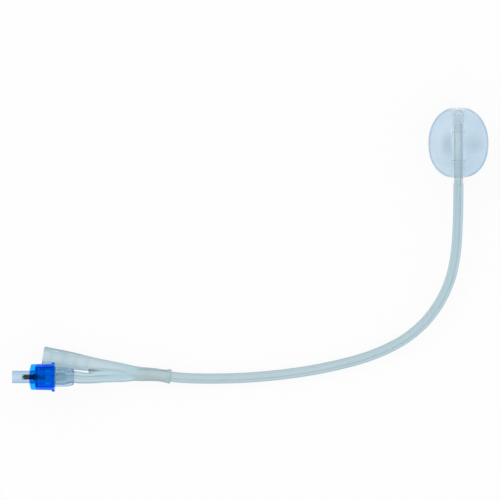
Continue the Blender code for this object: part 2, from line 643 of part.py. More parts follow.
coil_start = disc_rear + SEAT_GAP + SPRING_WIRE_RADIUS
coil_end = spring_seat - SEAT_GAP - SPRING_WIRE_RADIUS
coil_steps = COIL_STEPS * SPRING_TURNS
coil = []
for i in range(coil_steps + 1):
    turn_angle = math.tau * SPRING_TURNS * i / coil_steps
    coil.append(Vector((INLET_FACE_X + coil_start + (coil_end - coil_start) * i / coil_steps,
                        VALVE_Y + SPRING_COIL_RADIUS * math.cos(turn_angle),
                        valve_height + SPRING_COIL_RADIUS * math.sin(turn_angle))))
valve_spring = swept("valve_spring", stations(coil, SPRING_WIRE_RADIUS), FINE_SIDES)
finish(valve_spring, SPRING_STEEL)

# Y moulding: funnel and socket are one tapered rod, the arm is another, and a web fills the crotch
socket_bore = SHAFT_RADIUS + BOND_GAP
shaft_start = shaft_axis[0]
along_shaft = (shaft_axis[1] - shaft_axis[0]).normalized()
shaft_line = smooth_route(shaft_axis)


def on_shaft(distance):
    """A point of the shaft's axis inside the socket; before its end it runs on straight."""
    if distance < 0:
        return shaft_start + along_shaft * distance
    return at_distances(shaft_line, [distance])[0]


socket_stations = [
    (0.0, SOCKET_SHOULDER_WALL), (SOCKET_WAIST, SOCKET_WAIST_WALL),
    (SOCKET_LENGTH - 2 * SOCKET_LIP_WIDTH, SOCKET_END_WALL),
    (SOCKET_LENGTH - SOCKET_LIP_WIDTH, SOCKET_LIP_WALL), (SOCKET_LENGTH, SOCKET_LIP_WALL)]
socket_outside = [Vector((*on_shaft(d), socket_bore + wall)) for d, wall in socket_stations]
y_funnel = swept("y_funnel", smooth_route(funnel_outside + socket_outside, ROD_SAMPLES), ROD_SIDES)

plug_radius = cup_bore - FIT_GAP
plug_stations = [(plug_front, plug_radius), (plug_cone_start - FIT_GAP, plug_radius),
                 (plug_cone_start + PLUG_CONE_LENGTH - FIT_GAP, ARM_COLLAR_RADIUS)]
plug_outside = [Vector((INLET_FACE_X + s, VALVE_Y, valve_height, radius)) for s, radius in plug_stations]
arm_axis = [Vector((x, y, SOCKET_AXIS_HEIGHT + (valve_height - SOCKET_AXIS_HEIGHT) * lift))
            for x, y, lift in ARM_STATIONS]
arm_start = Vector((INLET_FACE_X + cup_end + FIT_GAP, VALVE_Y, valve_height))
arm_outside = stations([arm_start] + arm_axis[:1], ARM_COLLAR_RADIUS)
arm_outside += stations(arm_axis[1:], ARM_RADIUS)
arm_outside += stations([on_shaft(0.0), on_shaft(SOCKET_WAIST / 2)], ARM_ROOT_RADIUS)
arm_rod = plug_outside + smooth_route(arm_outside, BRANCH_SAMPLES)
arm_body = swept("arm_body", arm_rod, ROD_SIDES, CUTTERS)

funnel_line = smooth_route(funnel_outside)
arm_line = smooth_route(arm_outside)
web_axis = [at_x(funnel_line, x).lerp(at_x(arm_line, x), 0.5) for x, radius in WEB_STATIONS]
web_outside = [Vector((*middle[:3], radius)) for middle, (x, radius) in zip(web_axis, WEB_STATIONS)]
web_rod = smooth_route(web_outside + [Vector((*on_shaft(0.0), socket_bore))], BRANCH_SAMPLES)
web_body = swept("web_body", web_rod, SHAFT_SIDES, CUTTERS)
for body in (web_body, arm_body):
    combine(y_funnel, body, "UNION")

# Channels of the Y: the ribbed funnel bore runs into the drainage lumen, the arm's into the other
funnel_bores = [Vector((*station[:3], station[4])) for station in FUNNEL_STATIONS]
bore_line = smooth_route(funnel_bores)


def in_funnel(distance, rib_height):
    """A station of the funnel's bore, with a rib's height taken off its radius."""
    return at_distances(bore_line, [distance])[0] - Vector((0, 0, 0, rib_height))


ribbed = [extended(funnel_bores, RIB_FIRST, 0.0)[0]]
for rib in range(RIB_COUNT):
    crown = RIB_FIRST + RIB_PITCH * rib
    for step, height in ((-1.0, 0.0), (-0.5, RIB_HEIGHT), (0.5, RIB_HEIGHT), (1.0, 0.0)):
        ribbed.append(in_funnel(crown + step * RIB_WIDTH, height))
channel_lead = along_shaft * CHANNEL_LEAD
drainage_ends = stations([drainage_axis[0] - channel_lead, drainage_axis[0]], DRAINAGE_LUMEN_RADIUS)
narrowing = smooth_route([ribbed[-1]] + funnel_bores[2:] + drainage_ends, BRANCH_SAMPLES)
funnel_bore = swept("funnel_bore", ribbed + narrowing[1:], ROD_SIDES, CUTTERS)
socket_cut = [on_shaft(SOCKET_LENGTH * i / SOCKET_STEPS) for i in range(SOCKET_STEPS + 1)]
socket_rod = stations(extended(socket_cut, BOND_GAP, SOCKET_LIP_WIDTH), socket_bore)
socket_cutter = swept("socket_cutter", socket_rod, ROD_SIDES, CUTTERS)
spigot_end = Vector((INLET_FACE_X + nozzle_end + SEAT_GAP, VALVE_Y, valve_height))
plug_face = Vector((INLET_FACE_X + plug_front, VALVE_Y, valve_height))
into_plug = Vector((SEAT_GAP, 0, 0))
channel = stations([plug_face - into_plug, spigot_end], NOZZLE_SPIGOT_RADIUS + SEAT_GAP)
inflation_ends = [inflation_axis[0] - channel_lead, inflation_axis[0]]
channel_axis = [spigot_end + into_plug, arm_start] + arm_axis[:-2]
channel_axis.append(arm_axis[-2].lerp(inflation_ends[0], 0.5))
narrow_end = stations(inflation_ends, INFLATION_LUMEN_RADIUS)
channel += smooth_route(stations(channel_axis, ARM_CHANNEL_RADIUS) + narrow_end, BRANCH_SAMPLES)
arm_channel = swept("arm_channel", channel, CHANNEL_SIDES, CUTTERS)
for cutter in (funnel_bore, socket_cutter, arm_channel):
    combine(y_funnel, cutter, "DIFFERENCE")
finish(y_funnel, SILICONE)
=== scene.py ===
"""Foley urinary catheter with an inflated balloon, lying on a white table and seen from above."""

import math

import bmesh
import bpy
import numpy as np
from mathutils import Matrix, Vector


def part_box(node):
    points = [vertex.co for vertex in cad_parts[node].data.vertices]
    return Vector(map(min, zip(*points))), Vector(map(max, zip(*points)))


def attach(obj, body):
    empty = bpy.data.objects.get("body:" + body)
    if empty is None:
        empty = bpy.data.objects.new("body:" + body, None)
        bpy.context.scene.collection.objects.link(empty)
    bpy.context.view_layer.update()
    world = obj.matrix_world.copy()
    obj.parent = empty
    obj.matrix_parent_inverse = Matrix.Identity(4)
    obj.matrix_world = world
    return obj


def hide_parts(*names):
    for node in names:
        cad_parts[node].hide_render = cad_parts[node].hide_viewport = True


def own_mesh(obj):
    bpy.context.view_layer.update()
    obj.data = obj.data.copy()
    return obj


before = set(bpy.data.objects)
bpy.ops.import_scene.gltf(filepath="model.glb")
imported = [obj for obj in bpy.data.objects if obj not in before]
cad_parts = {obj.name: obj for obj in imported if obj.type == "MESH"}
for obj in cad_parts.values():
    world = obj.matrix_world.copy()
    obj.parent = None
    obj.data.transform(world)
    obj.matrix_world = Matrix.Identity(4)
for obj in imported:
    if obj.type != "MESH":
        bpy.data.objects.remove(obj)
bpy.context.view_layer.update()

MM = 0.001

# Camera, table and light. The catheter is photographed from straight above with a long lens, on a
# white ground under soft light. The table keeps a faint shadow, and clear parts see it as white.
CAMERA_HEIGHT = 2.770
CAMERA_LENS = 300
CAMERA_REACH = 100
CLEAR_BOUNCES = 40
WHITE = (1.0, 1.0, 1.0, 1.0)
SKY_STRENGTH = 0.84
TABLE_HALF_SIDE = 8.0
TABLE_COLOUR = (0.98, 0.98, 0.98, 1.0)
TABLE_GLOW_SHARE = 0.9

camera_data = bpy.data.cameras.new("camera")
camera_data.lens = CAMERA_LENS
camera_data.clip_end = CAMERA_REACH
camera = bpy.data.objects.new("camera", camera_data)
camera.location = (0, 0, CAMERA_HEIGHT)
bpy.context.scene.collection.objects.link(camera)
bpy.context.scene.camera = camera
bpy.context.scene.view_settings.view_transform = "Standard"
bpy.context.scene.cycles.max_bounces = CLEAR_BOUNCES
bpy.context.scene.cycles.transmission_bounces = CLEAR_BOUNCES

sky = bpy.data.worlds.new("soft_sky")
sky.use_nodes = True
sky.node_tree.nodes["Background"].inputs["Color"].default_value = WHITE
sky.node_tree.nodes["Background"].inputs["Strength"].default_value = SKY_STRENGTH
bpy.context.scene.world = sky


def soft_lamp(name, place, size, watts):
    """A round area lamp at a place, turned towards the middle of the catheter."""
    data = bpy.data.lights.new(name, "AREA")
    data.shape = "DISK"
    data.size = size
    data.energy = watts
    lamp = bpy.data.objects.new(name, data)
    lamp.location = place
    lamp.rotation_mode = "QUATERNION"
    lamp.rotation_quaternion = lamp.location.to_track_quat("Z", "Y")
    bpy.context.scene.collection.objects.link(lamp)


soft_lamp("window", place=(-0.7, 0.9, 1.3), size=0.35, watts=2.6)
soft_lamp("fill", place=(0.9, -0.5, 1.6), size=0.25, watts=0.8)


def new_material(name):
    """An empty node material, and its nodes and links."""
    made = bpy.data.materials.new(name)
    made.use_nodes = True
    made.node_tree.nodes.clear()
    return made, made.node_tree.nodes, made.node_tree.links


def set_inputs(node, **values):
    """Sets a node's own sockets; a name's underscores stand for spaces."""
    for name, value in values.items():
        node.inputs[name.replace("_", " ")].default_value = value
    return node


def math_node(nodes, links, operation, *values, kind="ShaderNodeMath", output=0):
    """A Math node, or another kind with operations, on values or sockets; returns an output."""
    node = nodes.new(kind)
    node.operation = operation
    for socket, value in zip(node.inputs, values):
        if isinstance(value, bpy.types.NodeSocket):
            links.new(value, socket)
        else:
            socket.default_value = value
    return node.outputs[output]


table_finish, nodes, links = new_material("white_table")
matt = set_inputs(nodes.new("ShaderNodeBsdfDiffuse"), Color=TABLE_COLOUR)
glow = set_inputs(nodes.new("ShaderNodeEmission"), Color=WHITE, Strength=1.0)
path = nodes.new("ShaderNodeLightPath")
seen = math_node(nodes, links, "MAXIMUM", path.outputs["Is Camera Ray"], path.outputs["Is Glossy Ray"])
seen = math_node(nodes, links, "MAXIMUM", seen, path.outputs["Is Transmission Ray"])
blend = nodes.new("ShaderNodeMixShader")
links.new(math_node(nodes, links, "MULTIPLY", seen, TABLE_GLOW_SHARE), blend.inputs["Fac"])
links.new(matt.outputs[0], blend.inputs[1])
links.new(glow.outputs[0], blend.inputs[2])
links.new(blend.outputs[0], nodes.new("ShaderNodeOutputMaterial").inputs["Surface"])

corners = [(x * TABLE_HALF_SIDE, y * TABLE_HALF_SIDE, 0) for x, y in ((-1, -1), (1, -1), (1, 1), (-1, 1))]
table_mesh = bpy.data.meshes.new("table")
table_mesh.from_pydata(corners, [], [(0, 1, 2, 3)])
table_mesh.materials.append(table_finish)
table = bpy.data.objects.new("table", table_mesh)
bpy.context.scene.collection.objects.link(table)

# Shaft: one long silicone extrusion with a wide drainage lumen and a fine inflation lumen, cut to
# length. Its far end is ground down for the balloon; it lies in one loose bend on the table.
SHAFT_RADIUS = 3.335 * MM
DRAINAGE_RADIUS = 1.75 * MM
DRAINAGE_OFFSET = 0.45 * MM
INFLATION_RADIUS = 0.4 * MM
INFLATION_OFFSET = 2.15 * MM
LUMEN_ROLL = math.radians(35)
BOND_GAP = 0.3 * MM
SOCKET_LENGTH = 22.3 * MM
SOCKET_AXIS_HEIGHT = 4.85 * MM
SETTLE_LENGTH = 30 * MM
LIFT_LENGTH = 160 * MM
BALLOON_X = 137.6 * MM
BALLOON_Y = 70.9 * MM
BALLOON_AXIS_HEIGHT = 19.3 * MM
RECESS_RADIUS = 2.9 * MM
RECESS_START_Y = 43.3 * MM
RECESS_END_Y = 83.15 * MM
RECESS_POINTS = 20
RECESS_SLOPE = 0.15 * MM
RING_CLEARANCE = 0.5 * MM
SHAFT_ROUTE = MM * np.array([
    (-74.7, -82.1), (-65.1, -82.6), (-54.4, -83.8), (-45.2, -84.8), (-33.2, -85.3), (-17.3, -85.3),
    (-1.3, -84.7), (14.6, -83.4), (30.4, -81.5), (46.1, -78.9), (61.7, -75.5), (77.0, -71.2),
    (91.8, -65.2), (105.5, -57.2), (117.3, -46.4), (126.4, -33.5), (132.7, -18.9), (135.9, -3.4),
    (137.1, 12.5), (137.5, 28.3), (137.6, 43.3)])
SHAFT_STEP = 1.6 * MM
SHAFT_SIDES = 48
LUMEN_SIDES = 12
MERGE_DISTANCE = 0.0005 * MM
SHARP_ANGLE = math.radians(35)
SHAFT_PALE = (0.84, 0.892, 0.905, 1.0)
SHAFT_DEEP = (0.772, 0.845, 0.87, 1.0)
SHAFT_FAR = (0.745, 0.825, 0.862, 1.0)
SHAFT_ENDS_PAINTED_LIGHT = (1.0, 0.985, 0.955, 1.0)
SHAFT_RIM_SHADE = (0.38, 0.54, 0.64, 1.0)
SHAFT_RIM_SHADE_FACING = (0.22, 0.62)
SHAFT_DEPTH = ((0.44, 0.72, 0.80, 1.0), 100)
# Where the tint changes: along the shaft, from the recess on and at the socket's end, where painted light
# pales it, along a painted rim shade
FAR_FADE = (130 * MM, 290 * MM)
CUFF_FADE = (3 * MM, 6 * MM)
SOCKET_FADE = 1.5 * MM
RIM_SHADE_FADE = 1.5 * MM


def smooth_route(points, samples=24):
    """Cubic Hermite curve through the points, each span in equal steps of its parameter.

    A point's tangent is the mean of its two chord slopes, each weighted by the other chord's length.
    """
    knots = np.array(points, float)
    chords = np.diff(knots, axis=0)
    spans = np.linalg.norm(chords, axis=1, keepdims=True)
    slopes = chords / spans
    inner = (slopes[:-1] * spans[1:] + slopes[1:] * spans[:-1]) / (spans[:-1] + spans[1:])
    tangents = np.vstack([slopes[:1], inner, slopes[-1:]])
    t = (np.arange(samples) / samples)[None, :, None]
    ease = 3 * t ** 2 - 2 * t ** 3
    leaving = (tangents[:-1] * spans)[:, None] * (t ** 3 - 2 * t ** 2 + t)
    arriving = (tangents[1:] * spans)[:, None] * (t ** 3 - t ** 2)
    curve = knots[:-1, None] * (1 - ease) + leaving + knots[1:, None] * ease + arriving
    return np.vstack([curve.reshape(-1, knots.shape[1]), knots[-1:]])


def distances_along(line):
    """Running length of a line of points, from 0 at its start."""
    return np.concatenate([[0.0], np.cumsum(np.linalg.norm(np.diff(line, axis=0), axis=1))])


def at_distances(line, wanted):
    """Points of a line at the wanted distances; before and behind its ends it runs on straight."""
    walked = distances_along(line)
    found = np.stack([np.interp(wanted, walked, column) for column in line.T], axis=1)
    first = (line[1] - line[0]) / walked[1]
    last = (line[-1] - line[-2]) / (walked[-1] - walked[-2])
    before, beyond = np.minimum(wanted, 0), np.maximum(wanted - walked[-1], 0)
    return found + np.outer(before, first) + np.outer(beyond, last)


def rings_about(line, wanted, radii, sides, shift=(0.0, 0.0)):
    """Rings round a line: at each wanted distance, a circle of its radius square to the line.

    A ring's points go from the right-hand side over the top: centre + radius * (cos a * right +
    sin a * up). The centre may be shifted to the right and upwards.
    """
    wanted = np.asarray(wanted, float)
    centres = at_distances(line, wanted)
    reach = 0.2 * MM
    ahead = at_distances(line, wanted + reach) - at_distances(line, wanted - reach)
    right = np.cross(ahead, (0, 0, 1))
    right /= np.linalg.norm(right, axis=1, keepdims=True)
    up = np.cross(right, ahead)
    up /= np.linalg.norm(up, axis=1, keepdims=True)
    centres = centres + right * shift[0] + up * shift[1]
    a = np.arange(sides) * math.tau / sides
    spokes = np.cos(a)[None, :, None] * right[:, None] + np.sin(a)[None, :, None] * up[:, None]
    return centres[:, None] + np.asarray(radii, float).reshape(-1, 1, 1) * spokes


def grid_faces(rows, columns, loop):
    """Quads of a grid that closes round its columns, and in a loop round its rows too."""
    row, column = np.meshgrid(np.arange(rows if loop else rows - 1), np.arange(columns), indexing="ij")
    below, beside = (row + 1) % rows * columns, (column + 1) % columns
    row = row * columns
    return np.stack([row + column, below + column, below + beside, row + beside], axis=-1).reshape(-1, 4)


def shell_mesh(name, *shells):
    """A mesh of shells, each (rings, loop): rings in rows, joined into one closed surface.

    A row whose points all meet is a pole; its doubles are merged later.
    """
    points, faces, count = [], [], 0
    for rings, loop in shells:
        rows, columns = rings.shape[:2]
        points.append(rings.reshape(-1, 3))
        faces.append(grid_faces(rows, columns, loop) + count)
        count += rows * columns
    mesh = bpy.data.meshes.new(name)
    mesh.from_pydata(np.vstack(points), [], np.vstack(faces).tolist())
    return mesh


def merged(mesh):
    """The mesh with its doubles merged, so that poles and seams are closed."""
    shell = bmesh.new()
    shell.from_mesh(mesh)
    bmesh.ops.remove_doubles(shell, verts=shell.verts, dist=MERGE_DISTANCE)
    shell.to_mesh(mesh)
    shell.free()
    return mesh


def finished(name, mesh, material, body, node):
    """Merges doubles, shades smooth with sharp edges kept, and puts the piece on its body."""
    merged(mesh)
    mesh.shade_smooth()
    mesh.set_sharp_from_angle(angle=SHARP_ANGLE)
    mesh.materials.clear()
    mesh.materials.append(material)
    piece = bpy.data.objects.new(name, mesh)
    bpy.context.scene.collection.objects.link(piece)
    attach(piece, body)
    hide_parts(node)
    return piece


def smoothstep(t):
    """Eases from 0 to 1 with level ends: 3 t^2 - 2 t^3, t held between 0 and 1."""
    t = np.clip(t, 0, 1)
    return t * t * (3 - 2 * t)


def new_group(name, inputs, outputs):
    """An empty node group with (name, kind) sockets, and its nodes, links, input and output."""
    group = bpy.data.node_groups.new(name, "ShaderNodeTree")
    for sockets, side in ((inputs, "INPUT"), (outputs, "OUTPUT")):
        for socket, kind in sockets:
            group.interface.new_socket(socket, in_out=side, socket_type="NodeSocket" + kind)
    nodes = group.nodes
    return group, nodes, group.links, nodes.new("NodeGroupInput"), nodes.new("NodeGroupOutput")


def moulded_group():
    """A node group for moulded and extruded surfaces: two colours in soft mottles, and fine grain."""
    group, nodes, links, start, end = new_group(
        "moulded_surface",
        [("Vector", "Vector"), ("Pale", "Color"), ("Deep", "Color"), ("Mottle Scale", "Float"),
         ("Grain Scale", "Float"), ("Smooth", "Float"), ("Dull", "Float")],
        [("Colour", "Color"), ("Roughness", "Float"), ("Height", "Float")])
    mottle = set_inputs(nodes.new("ShaderNodeTexNoise"), Detail=3.0, Roughness=0.5)
    grain = set_inputs(nodes.new("ShaderNodeTexNoise"), Detail=4.0, Roughness=0.6)
    links.new(start.outputs["Vector"], mottle.inputs["Vector"])
    links.new(start.outputs["Vector"], grain.inputs["Vector"])
    links.new(start.outputs["Mottle Scale"], mottle.inputs["Scale"])
    links.new(start.outputs["Grain Scale"], grain.inputs["Scale"])
    spread = set_inputs(nodes.new("ShaderNodeMapRange"), From_Min=0.35, From_Max=0.65)
    links.new(mottle.outputs["Fac"], spread.inputs["Value"])
    colours = nodes.new("ShaderNodeMix")
    colours.data_type = "RGBA"
    links.new(spread.outputs["Result"], colours.inputs["Factor"])
    links.new(start.outputs["Pale"], colours.inputs[6])
    links.new(start.outputs["Deep"], colours.inputs[7])
    links.new(colours.outputs[2], end.inputs["Colour"])
    dulling = set_inputs(nodes.new("ShaderNodeMapRange"), From_Min=0.3, From_Max=0.7)
    links.new(grain.outputs["Fac"], dulling.inputs["Value"])
    links.new(start.outputs["Smooth"], dulling.inputs["To Min"])
    links.new(start.outputs["Dull"], dulling.inputs["To Max"])
    links.new(dulling.outputs["Result"], end.inputs["Roughness"])
    links.new(grain.outputs["Fac"], end.inputs["Height"])
    return group


MOULDED_SURFACE = moulded_group()


def moulded_material(name, pale, deep, mottle, grain, smooth, dull, bump, stretch=(1, 1, 1), flow=False,
                     inside=None, **sockets):
    """A Principled material with the moulded surface group; sockets are the shader's own values.

    inside is the colour and density of the absorption in a clear body, so that thick parts are deeper.
    """
    made, nodes, links = new_material(name)
    shader = set_inputs(nodes.new("ShaderNodeBsdfPrincipled"), **sockets)
    if flow:
        place = nodes.new("ShaderNodeAttribute")
        place.attribute_name = "flow"
    else:
        place = nodes.new("ShaderNodeTexCoord")
    scaling = set_inputs(nodes.new("ShaderNodeMapping"), Scale=stretch)
    links.new(place.outputs["Vector" if flow else "Object"], scaling.inputs["Vector"])
    surface = nodes.new("ShaderNodeGroup")
    surface.node_tree = MOULDED_SURFACE
    set_inputs(surface, Pale=pale, Deep=deep, Mottle_Scale=mottle, Grain_Scale=grain, Smooth=smooth,
               Dull=dull)
    links.new(scaling.outputs[0], surface.inputs["Vector"])
    links.new(surface.outputs["Colour"], shader.inputs["Base Color"])
    links.new(surface.outputs["Roughness"], shader.inputs["Roughness"])
    relief = set_inputs(nodes.new("ShaderNodeBump"), Strength=0.3, Distance=bump)
    links.new(surface.outputs["Height"], relief.inputs["Height"])
    links.new(relief.outputs["Normal"], shader.inputs["Normal"])
    output = nodes.new("ShaderNodeOutputMaterial")
    links.new(shader.outputs[0], output.inputs["Surface"])
    if inside:
        depth = set_inputs(nodes.new("ShaderNodeVolumeAbsorption"), Color=inside[0], Density=inside[1])
        links.new(depth.outputs[0], output.inputs["Volume"])
    return made


def ramp(nodes, links, value, low, high):
    """0 at the low value of a socket and 1 at its high value, in between in proportion."""
    node = set_inputs(nodes.new("ShaderNodeMapRange"), From_Min=low, From_Max=high)
    links.new(value, node.inputs["Value"])
    return node.outputs[0]


def mix_in(material, share, colour):
    """Mixes a colour into the material's base colour, by a socket's share from 0 to 1."""
    nodes, links = material.node_tree.nodes, material.node_tree.links
    base = nodes["Principled BSDF"].inputs["Base Color"]
    mix = nodes.new("ShaderNodeMix")
    mix.data_type = "RGBA"
    links.new(share, mix.inputs["Factor"])
    links.new(base.links[0].from_socket, mix.inputs[6])
    mix.inputs[7].default_value = colour
    links.new(mix.outputs[2], base)


def facing_away(nodes, links, facing):
    """A share that grows as the surface turns away from the eye, between two values of Facing."""
    return ramp(nodes, links, nodes.new("ShaderNodeLayerWeight").outputs["Facing"], *facing)


def painted_rim_shade(material, colour, facing, start=None):
    """Paints a darker rim on a clear piece where its wall turns away and is looked through lengthwise:
    painted shade.

    With a start, a place along X, it only does so behind that place.
    """
    nodes, links = material.node_tree.nodes, material.node_tree.links
    share = facing_away(nodes, links, facing)
    if start is not None:
        place = nodes.new("ShaderNodeSeparateXYZ")
        links.new(nodes["Texture Coordinate"].outputs["Object"], place.inputs[0])
        behind = ramp(nodes, links, place.outputs["X"], start, start + RIM_SHADE_FADE)
        share = math_node(nodes, links, "MULTIPLY", share, behind)
    mix_in(material, share, colour)


def pale_ends_painted_light(material, recess):
    """Takes the tint off both ends of the shaft, in the socket and under the cuffs from the recess on,
    as painted light that offsets the shade of the layers over them.

    Between them the tint deepens towards the balloon.
    """
    nodes, links = material.node_tree.nodes, material.node_tree.links
    place = nodes.new("ShaderNodeSeparateXYZ")
    links.new(nodes["Attribute"].outputs["Vector"], place.inputs[0])
    along = place.outputs["Z"]
    mix_in(material, ramp(nodes, links, along, *FAR_FADE), SHAFT_FAR)
    far = ramp(nodes, links, along, recess + CUFF_FADE[0], recess + CUFF_FADE[1])
    near = ramp(nodes, links, along, SOCKET_LENGTH, SOCKET_LENGTH - SOCKET_FADE)
    mix_in(material, math_node(nodes, links, "ADD", far, near), SHAFT_ENDS_PAINTED_LIGHT)


def keep_flow(mesh, tubes):
    """Stores each point's straightened place (sideways, upwards, along) as the attribute flow."""
    flows = []
    for steps, radii, sides, shift in tubes:
        a = np.arange(sides) * math.tau / sides
        across = radii[:, None, None] * np.stack([np.cos(a), np.sin(a)], axis=-1)[None]
        along = np.broadcast_to(steps[:, None, None], across.shape[:2] + (1,))
        flows.append(np.concatenate([across + np.array(shift), along], axis=-1).reshape(-1, 3))
    attribute = mesh.attributes.new("flow", "FLOAT_VECTOR", "POINT")
    attribute.data.foreach_set("vector", np.vstack(flows).astype(np.float32).ravel())


plan = smooth_route(SHAFT_ROUTE)
plan_length = distances_along(plan)[-1]
plan_steps = np.linspace(0, plan_length, round(plan_length / SHAFT_STEP) + 1)
in_socket = 1 - smoothstep((plan_steps - SOCKET_LENGTH) / SETTLE_LENGTH)
settle = SHAFT_RADIUS + (SOCKET_AXIS_HEIGHT - SHAFT_RADIUS) * in_socket
lift = np.clip((plan_steps - plan_length + LIFT_LENGTH) / LIFT_LENGTH, 0, 1)
heights = settle + (BALLOON_AXIS_HEIGHT - SHAFT_RADIUS) * (4 * lift ** 3 - 3 * lift ** 4)
recess_line = [(BALLOON_X, y, BALLOON_AXIS_HEIGHT)
               for y in np.linspace(RECESS_START_Y, RECESS_END_Y, RECESS_POINTS)[1:]]
shaft_line = np.vstack([np.column_stack([at_distances(plan, plan_steps), heights]), recess_line])
shaft_reach = distances_along(shaft_line)
shaft_length = shaft_reach[-1]
recess_reach = shaft_length - (RECESS_END_Y - RECESS_START_Y)

full = shaft_reach[shaft_reach < recess_reach - RING_CLEARANCE]
thin = shaft_reach[shaft_reach > recess_reach + RING_CLEARANCE]
outer_steps = np.concatenate([full, [recess_reach, recess_reach + RECESS_SLOPE], thin])
outer_radii = np.where(outer_steps <= recess_reach, SHAFT_RADIUS, RECESS_RADIUS)
fine_steps = np.concatenate([[BOND_GAP] * 2, shaft_reach[1:-1], [shaft_length - BOND_GAP] * 2])[::-1]
fine_radii = np.full(len(fine_steps), INFLATION_RADIUS)
fine_radii[[0, -1]] = 0
lumen_side = np.array([math.sin(LUMEN_ROLL), math.cos(LUMEN_ROLL)])
drainage_shift, inflation_shift = -DRAINAGE_OFFSET * lumen_side, INFLATION_OFFSET * lumen_side
tubes = [(outer_steps, outer_radii, SHAFT_SIDES, (0, 0)),
         (outer_steps[::-1], np.full(len(outer_steps), DRAINAGE_RADIUS), SHAFT_SIDES, drainage_shift),
         (fine_steps, fine_radii, LUMEN_SIDES, inflation_shift)]
outside, bore, fine = [rings_about(shaft_line, *tube) for tube in tubes]
shaft_mesh = shell_mesh("silicone_shaft", (np.vstack([outside, bore]), True), (fine, False))
keep_flow(shaft_mesh, tubes)

SHAFT_SILICONE = moulded_material(
    "extruded_silicone", SHAFT_PALE, SHAFT_DEEP, mottle=90, grain=400, smooth=0.28, dull=0.32,
    bump=0.002 * MM, stretch=(1, 1, 0.06), flow=True, inside=SHAFT_DEPTH, IOR=1.30, Transmission_Weight=1.0)
# Painted shade: a darker rim along the shaft's edges.
painted_rim_shade(SHAFT_SILICONE, SHAFT_RIM_SHADE, SHAFT_RIM_SHADE_FACING)
# Painted light: the shaft's ends are paled in the socket and under the cuffs.
pale_ends_painted_light(SHAFT_SILICONE, recess_reach)
silicone_shaft = finished("silicone_shaft", shaft_mesh, SHAFT_SILICONE, "catheter", "shaft")

# Tip: a short silicone moulding with a closed round nose and two side eyes, through which the
# bladder drains. It is bonded to the ground end of the shaft.
TIP_START_Y = RECESS_END_Y + BOND_GAP
TIP_RADIUS = 3.7 * MM
TIP_LENGTH = 9.0 * MM
TIP_NOSE_LENGTH = 4.2 * MM
TIP_BORE_RADIUS = 2.2 * MM
TIP_BORE_LENGTH = 6.7 * MM
TIP_EDGE_LENGTH = 1.0 * MM
TIP_ROUND = 0.25 * MM
TIP_SIDES = 64
EYE_LENGTH = 3.6 * MM
EYE_WIDTH = 2.2 * MM
EYE_SETBACK = 5.3 * MM
EYE_SIDES = 48
EYE_REACHES = MM * np.array([-6, -6, -3.9, -3.3, -2.6, 2.6, 3.3, 3.9, 6, 6])
EYE_FLARES = np.array([0, 1.35, 1.35, 1.08, 1.0, 1.0, 1.08, 1.35, 1.35, 0])
TIP_PALE = (1.0, 1.0, 0.99, 1.0)
TIP_DEEP = (0.86, 0.91, 0.88, 1.0)


def quarter(start, end, steps):
    """A quarter ellipse in (radius, height), from start, where it runs along the axis, to end."""
    a = np.linspace(0, math.pi / 2, steps)
    (r0, h0), (r1, h1) = start, end
    return np.column_stack([r1 + (r0 - r1) * np.cos(a), h0 + (h1 - h0) * np.sin(a)])


def rounded(outline, size, steps=5):
    """Rounds an outline's inner corners: each becomes a parabola that starts and ends size from it.

    Points on the axis and the outline's two ends stay, and a short side is shared by its corners.
    """
    p = np.array(outline, float)
    back, ahead = p[:-2] - p[1:-1], p[2:] - p[1:-1]
    back_length, ahead_length = np.linalg.norm(back, axis=1), np.linalg.norm(ahead, axis=1)
    cut = np.minimum(size, 0.45 * np.minimum(back_length, ahead_length)) * (p[1:-1, 0] > 0)
    a = p[1:-1] + back * (cut / back_length)[:, None]
    b = p[1:-1] + ahead * (cut / ahead_length)[:, None]
    t = np.linspace(0, 1, steps)[None, :, None]
    arcs = a[:, None] * (1 - t) ** 2 + 2 * p[1:-1, None] * t * (1 - t) + b[:, None] * t ** 2
    return np.vstack([p[:1], arcs.reshape(-1, 2), p[-1:]])


def evaluated(carrier):
    """The mesh of an object with its modifiers applied; the object itself goes."""
    bpy.context.view_layer.update()
    mesh = bpy.data.meshes.new_from_object(carrier.evaluated_get(bpy.context.evaluated_depsgraph_get()))
    bpy.data.objects.remove(carrier)
    return mesh


def carrier_of(mesh):
    """A scene object that carries a mesh while modifiers work on it."""
    carrier = bpy.data.objects.new("carrier", mesh)
    bpy.context.scene.collection.objects.link(carrier)
    return carrier


def cut_away(mesh, cutters):
    """The mesh with other meshes cut out of it by exact Booleans."""
    piece = carrier_of(mesh)
    tools = [carrier_of(cutter) for cutter in cutters]
    for tool in tools:
        boolean = piece.modifiers.new("cut", "BOOLEAN")
        boolean.operation = "DIFFERENCE"
        boolean.solver = "EXACT"
        boolean.object = tool
    result = evaluated(piece)
    for tool in tools:
        bpy.data.objects.remove(tool)
    return result


tip_axis = np.array([(BALLOON_X, TIP_START_Y, BALLOON_AXIS_HEIGHT),
                     (BALLOON_X, TIP_START_Y + TIP_LENGTH, BALLOON_AXIS_HEIGHT)])
nose = quarter((TIP_RADIUS, TIP_LENGTH - TIP_NOSE_LENGTH), (0, TIP_LENGTH), steps=22)
hollow = quarter((TIP_BORE_RADIUS, TIP_BORE_LENGTH - TIP_BORE_RADIUS / 2), (0, TIP_BORE_LENGTH), steps=12)
tip_edge = rounded([(TIP_BORE_RADIUS, TIP_EDGE_LENGTH), (TIP_BORE_RADIUS, 0), (TIP_RADIUS, 0),
                    (TIP_RADIUS, TIP_EDGE_LENGTH)], TIP_ROUND)
tip_outline = np.vstack([hollow[::-1], tip_edge, nose])
tip_rings = rings_about(tip_axis, tip_outline[:, 1], tip_outline[:, 0], TIP_SIDES)
tip_mesh = merged(shell_mesh("closed_tip", (tip_rings, False)))

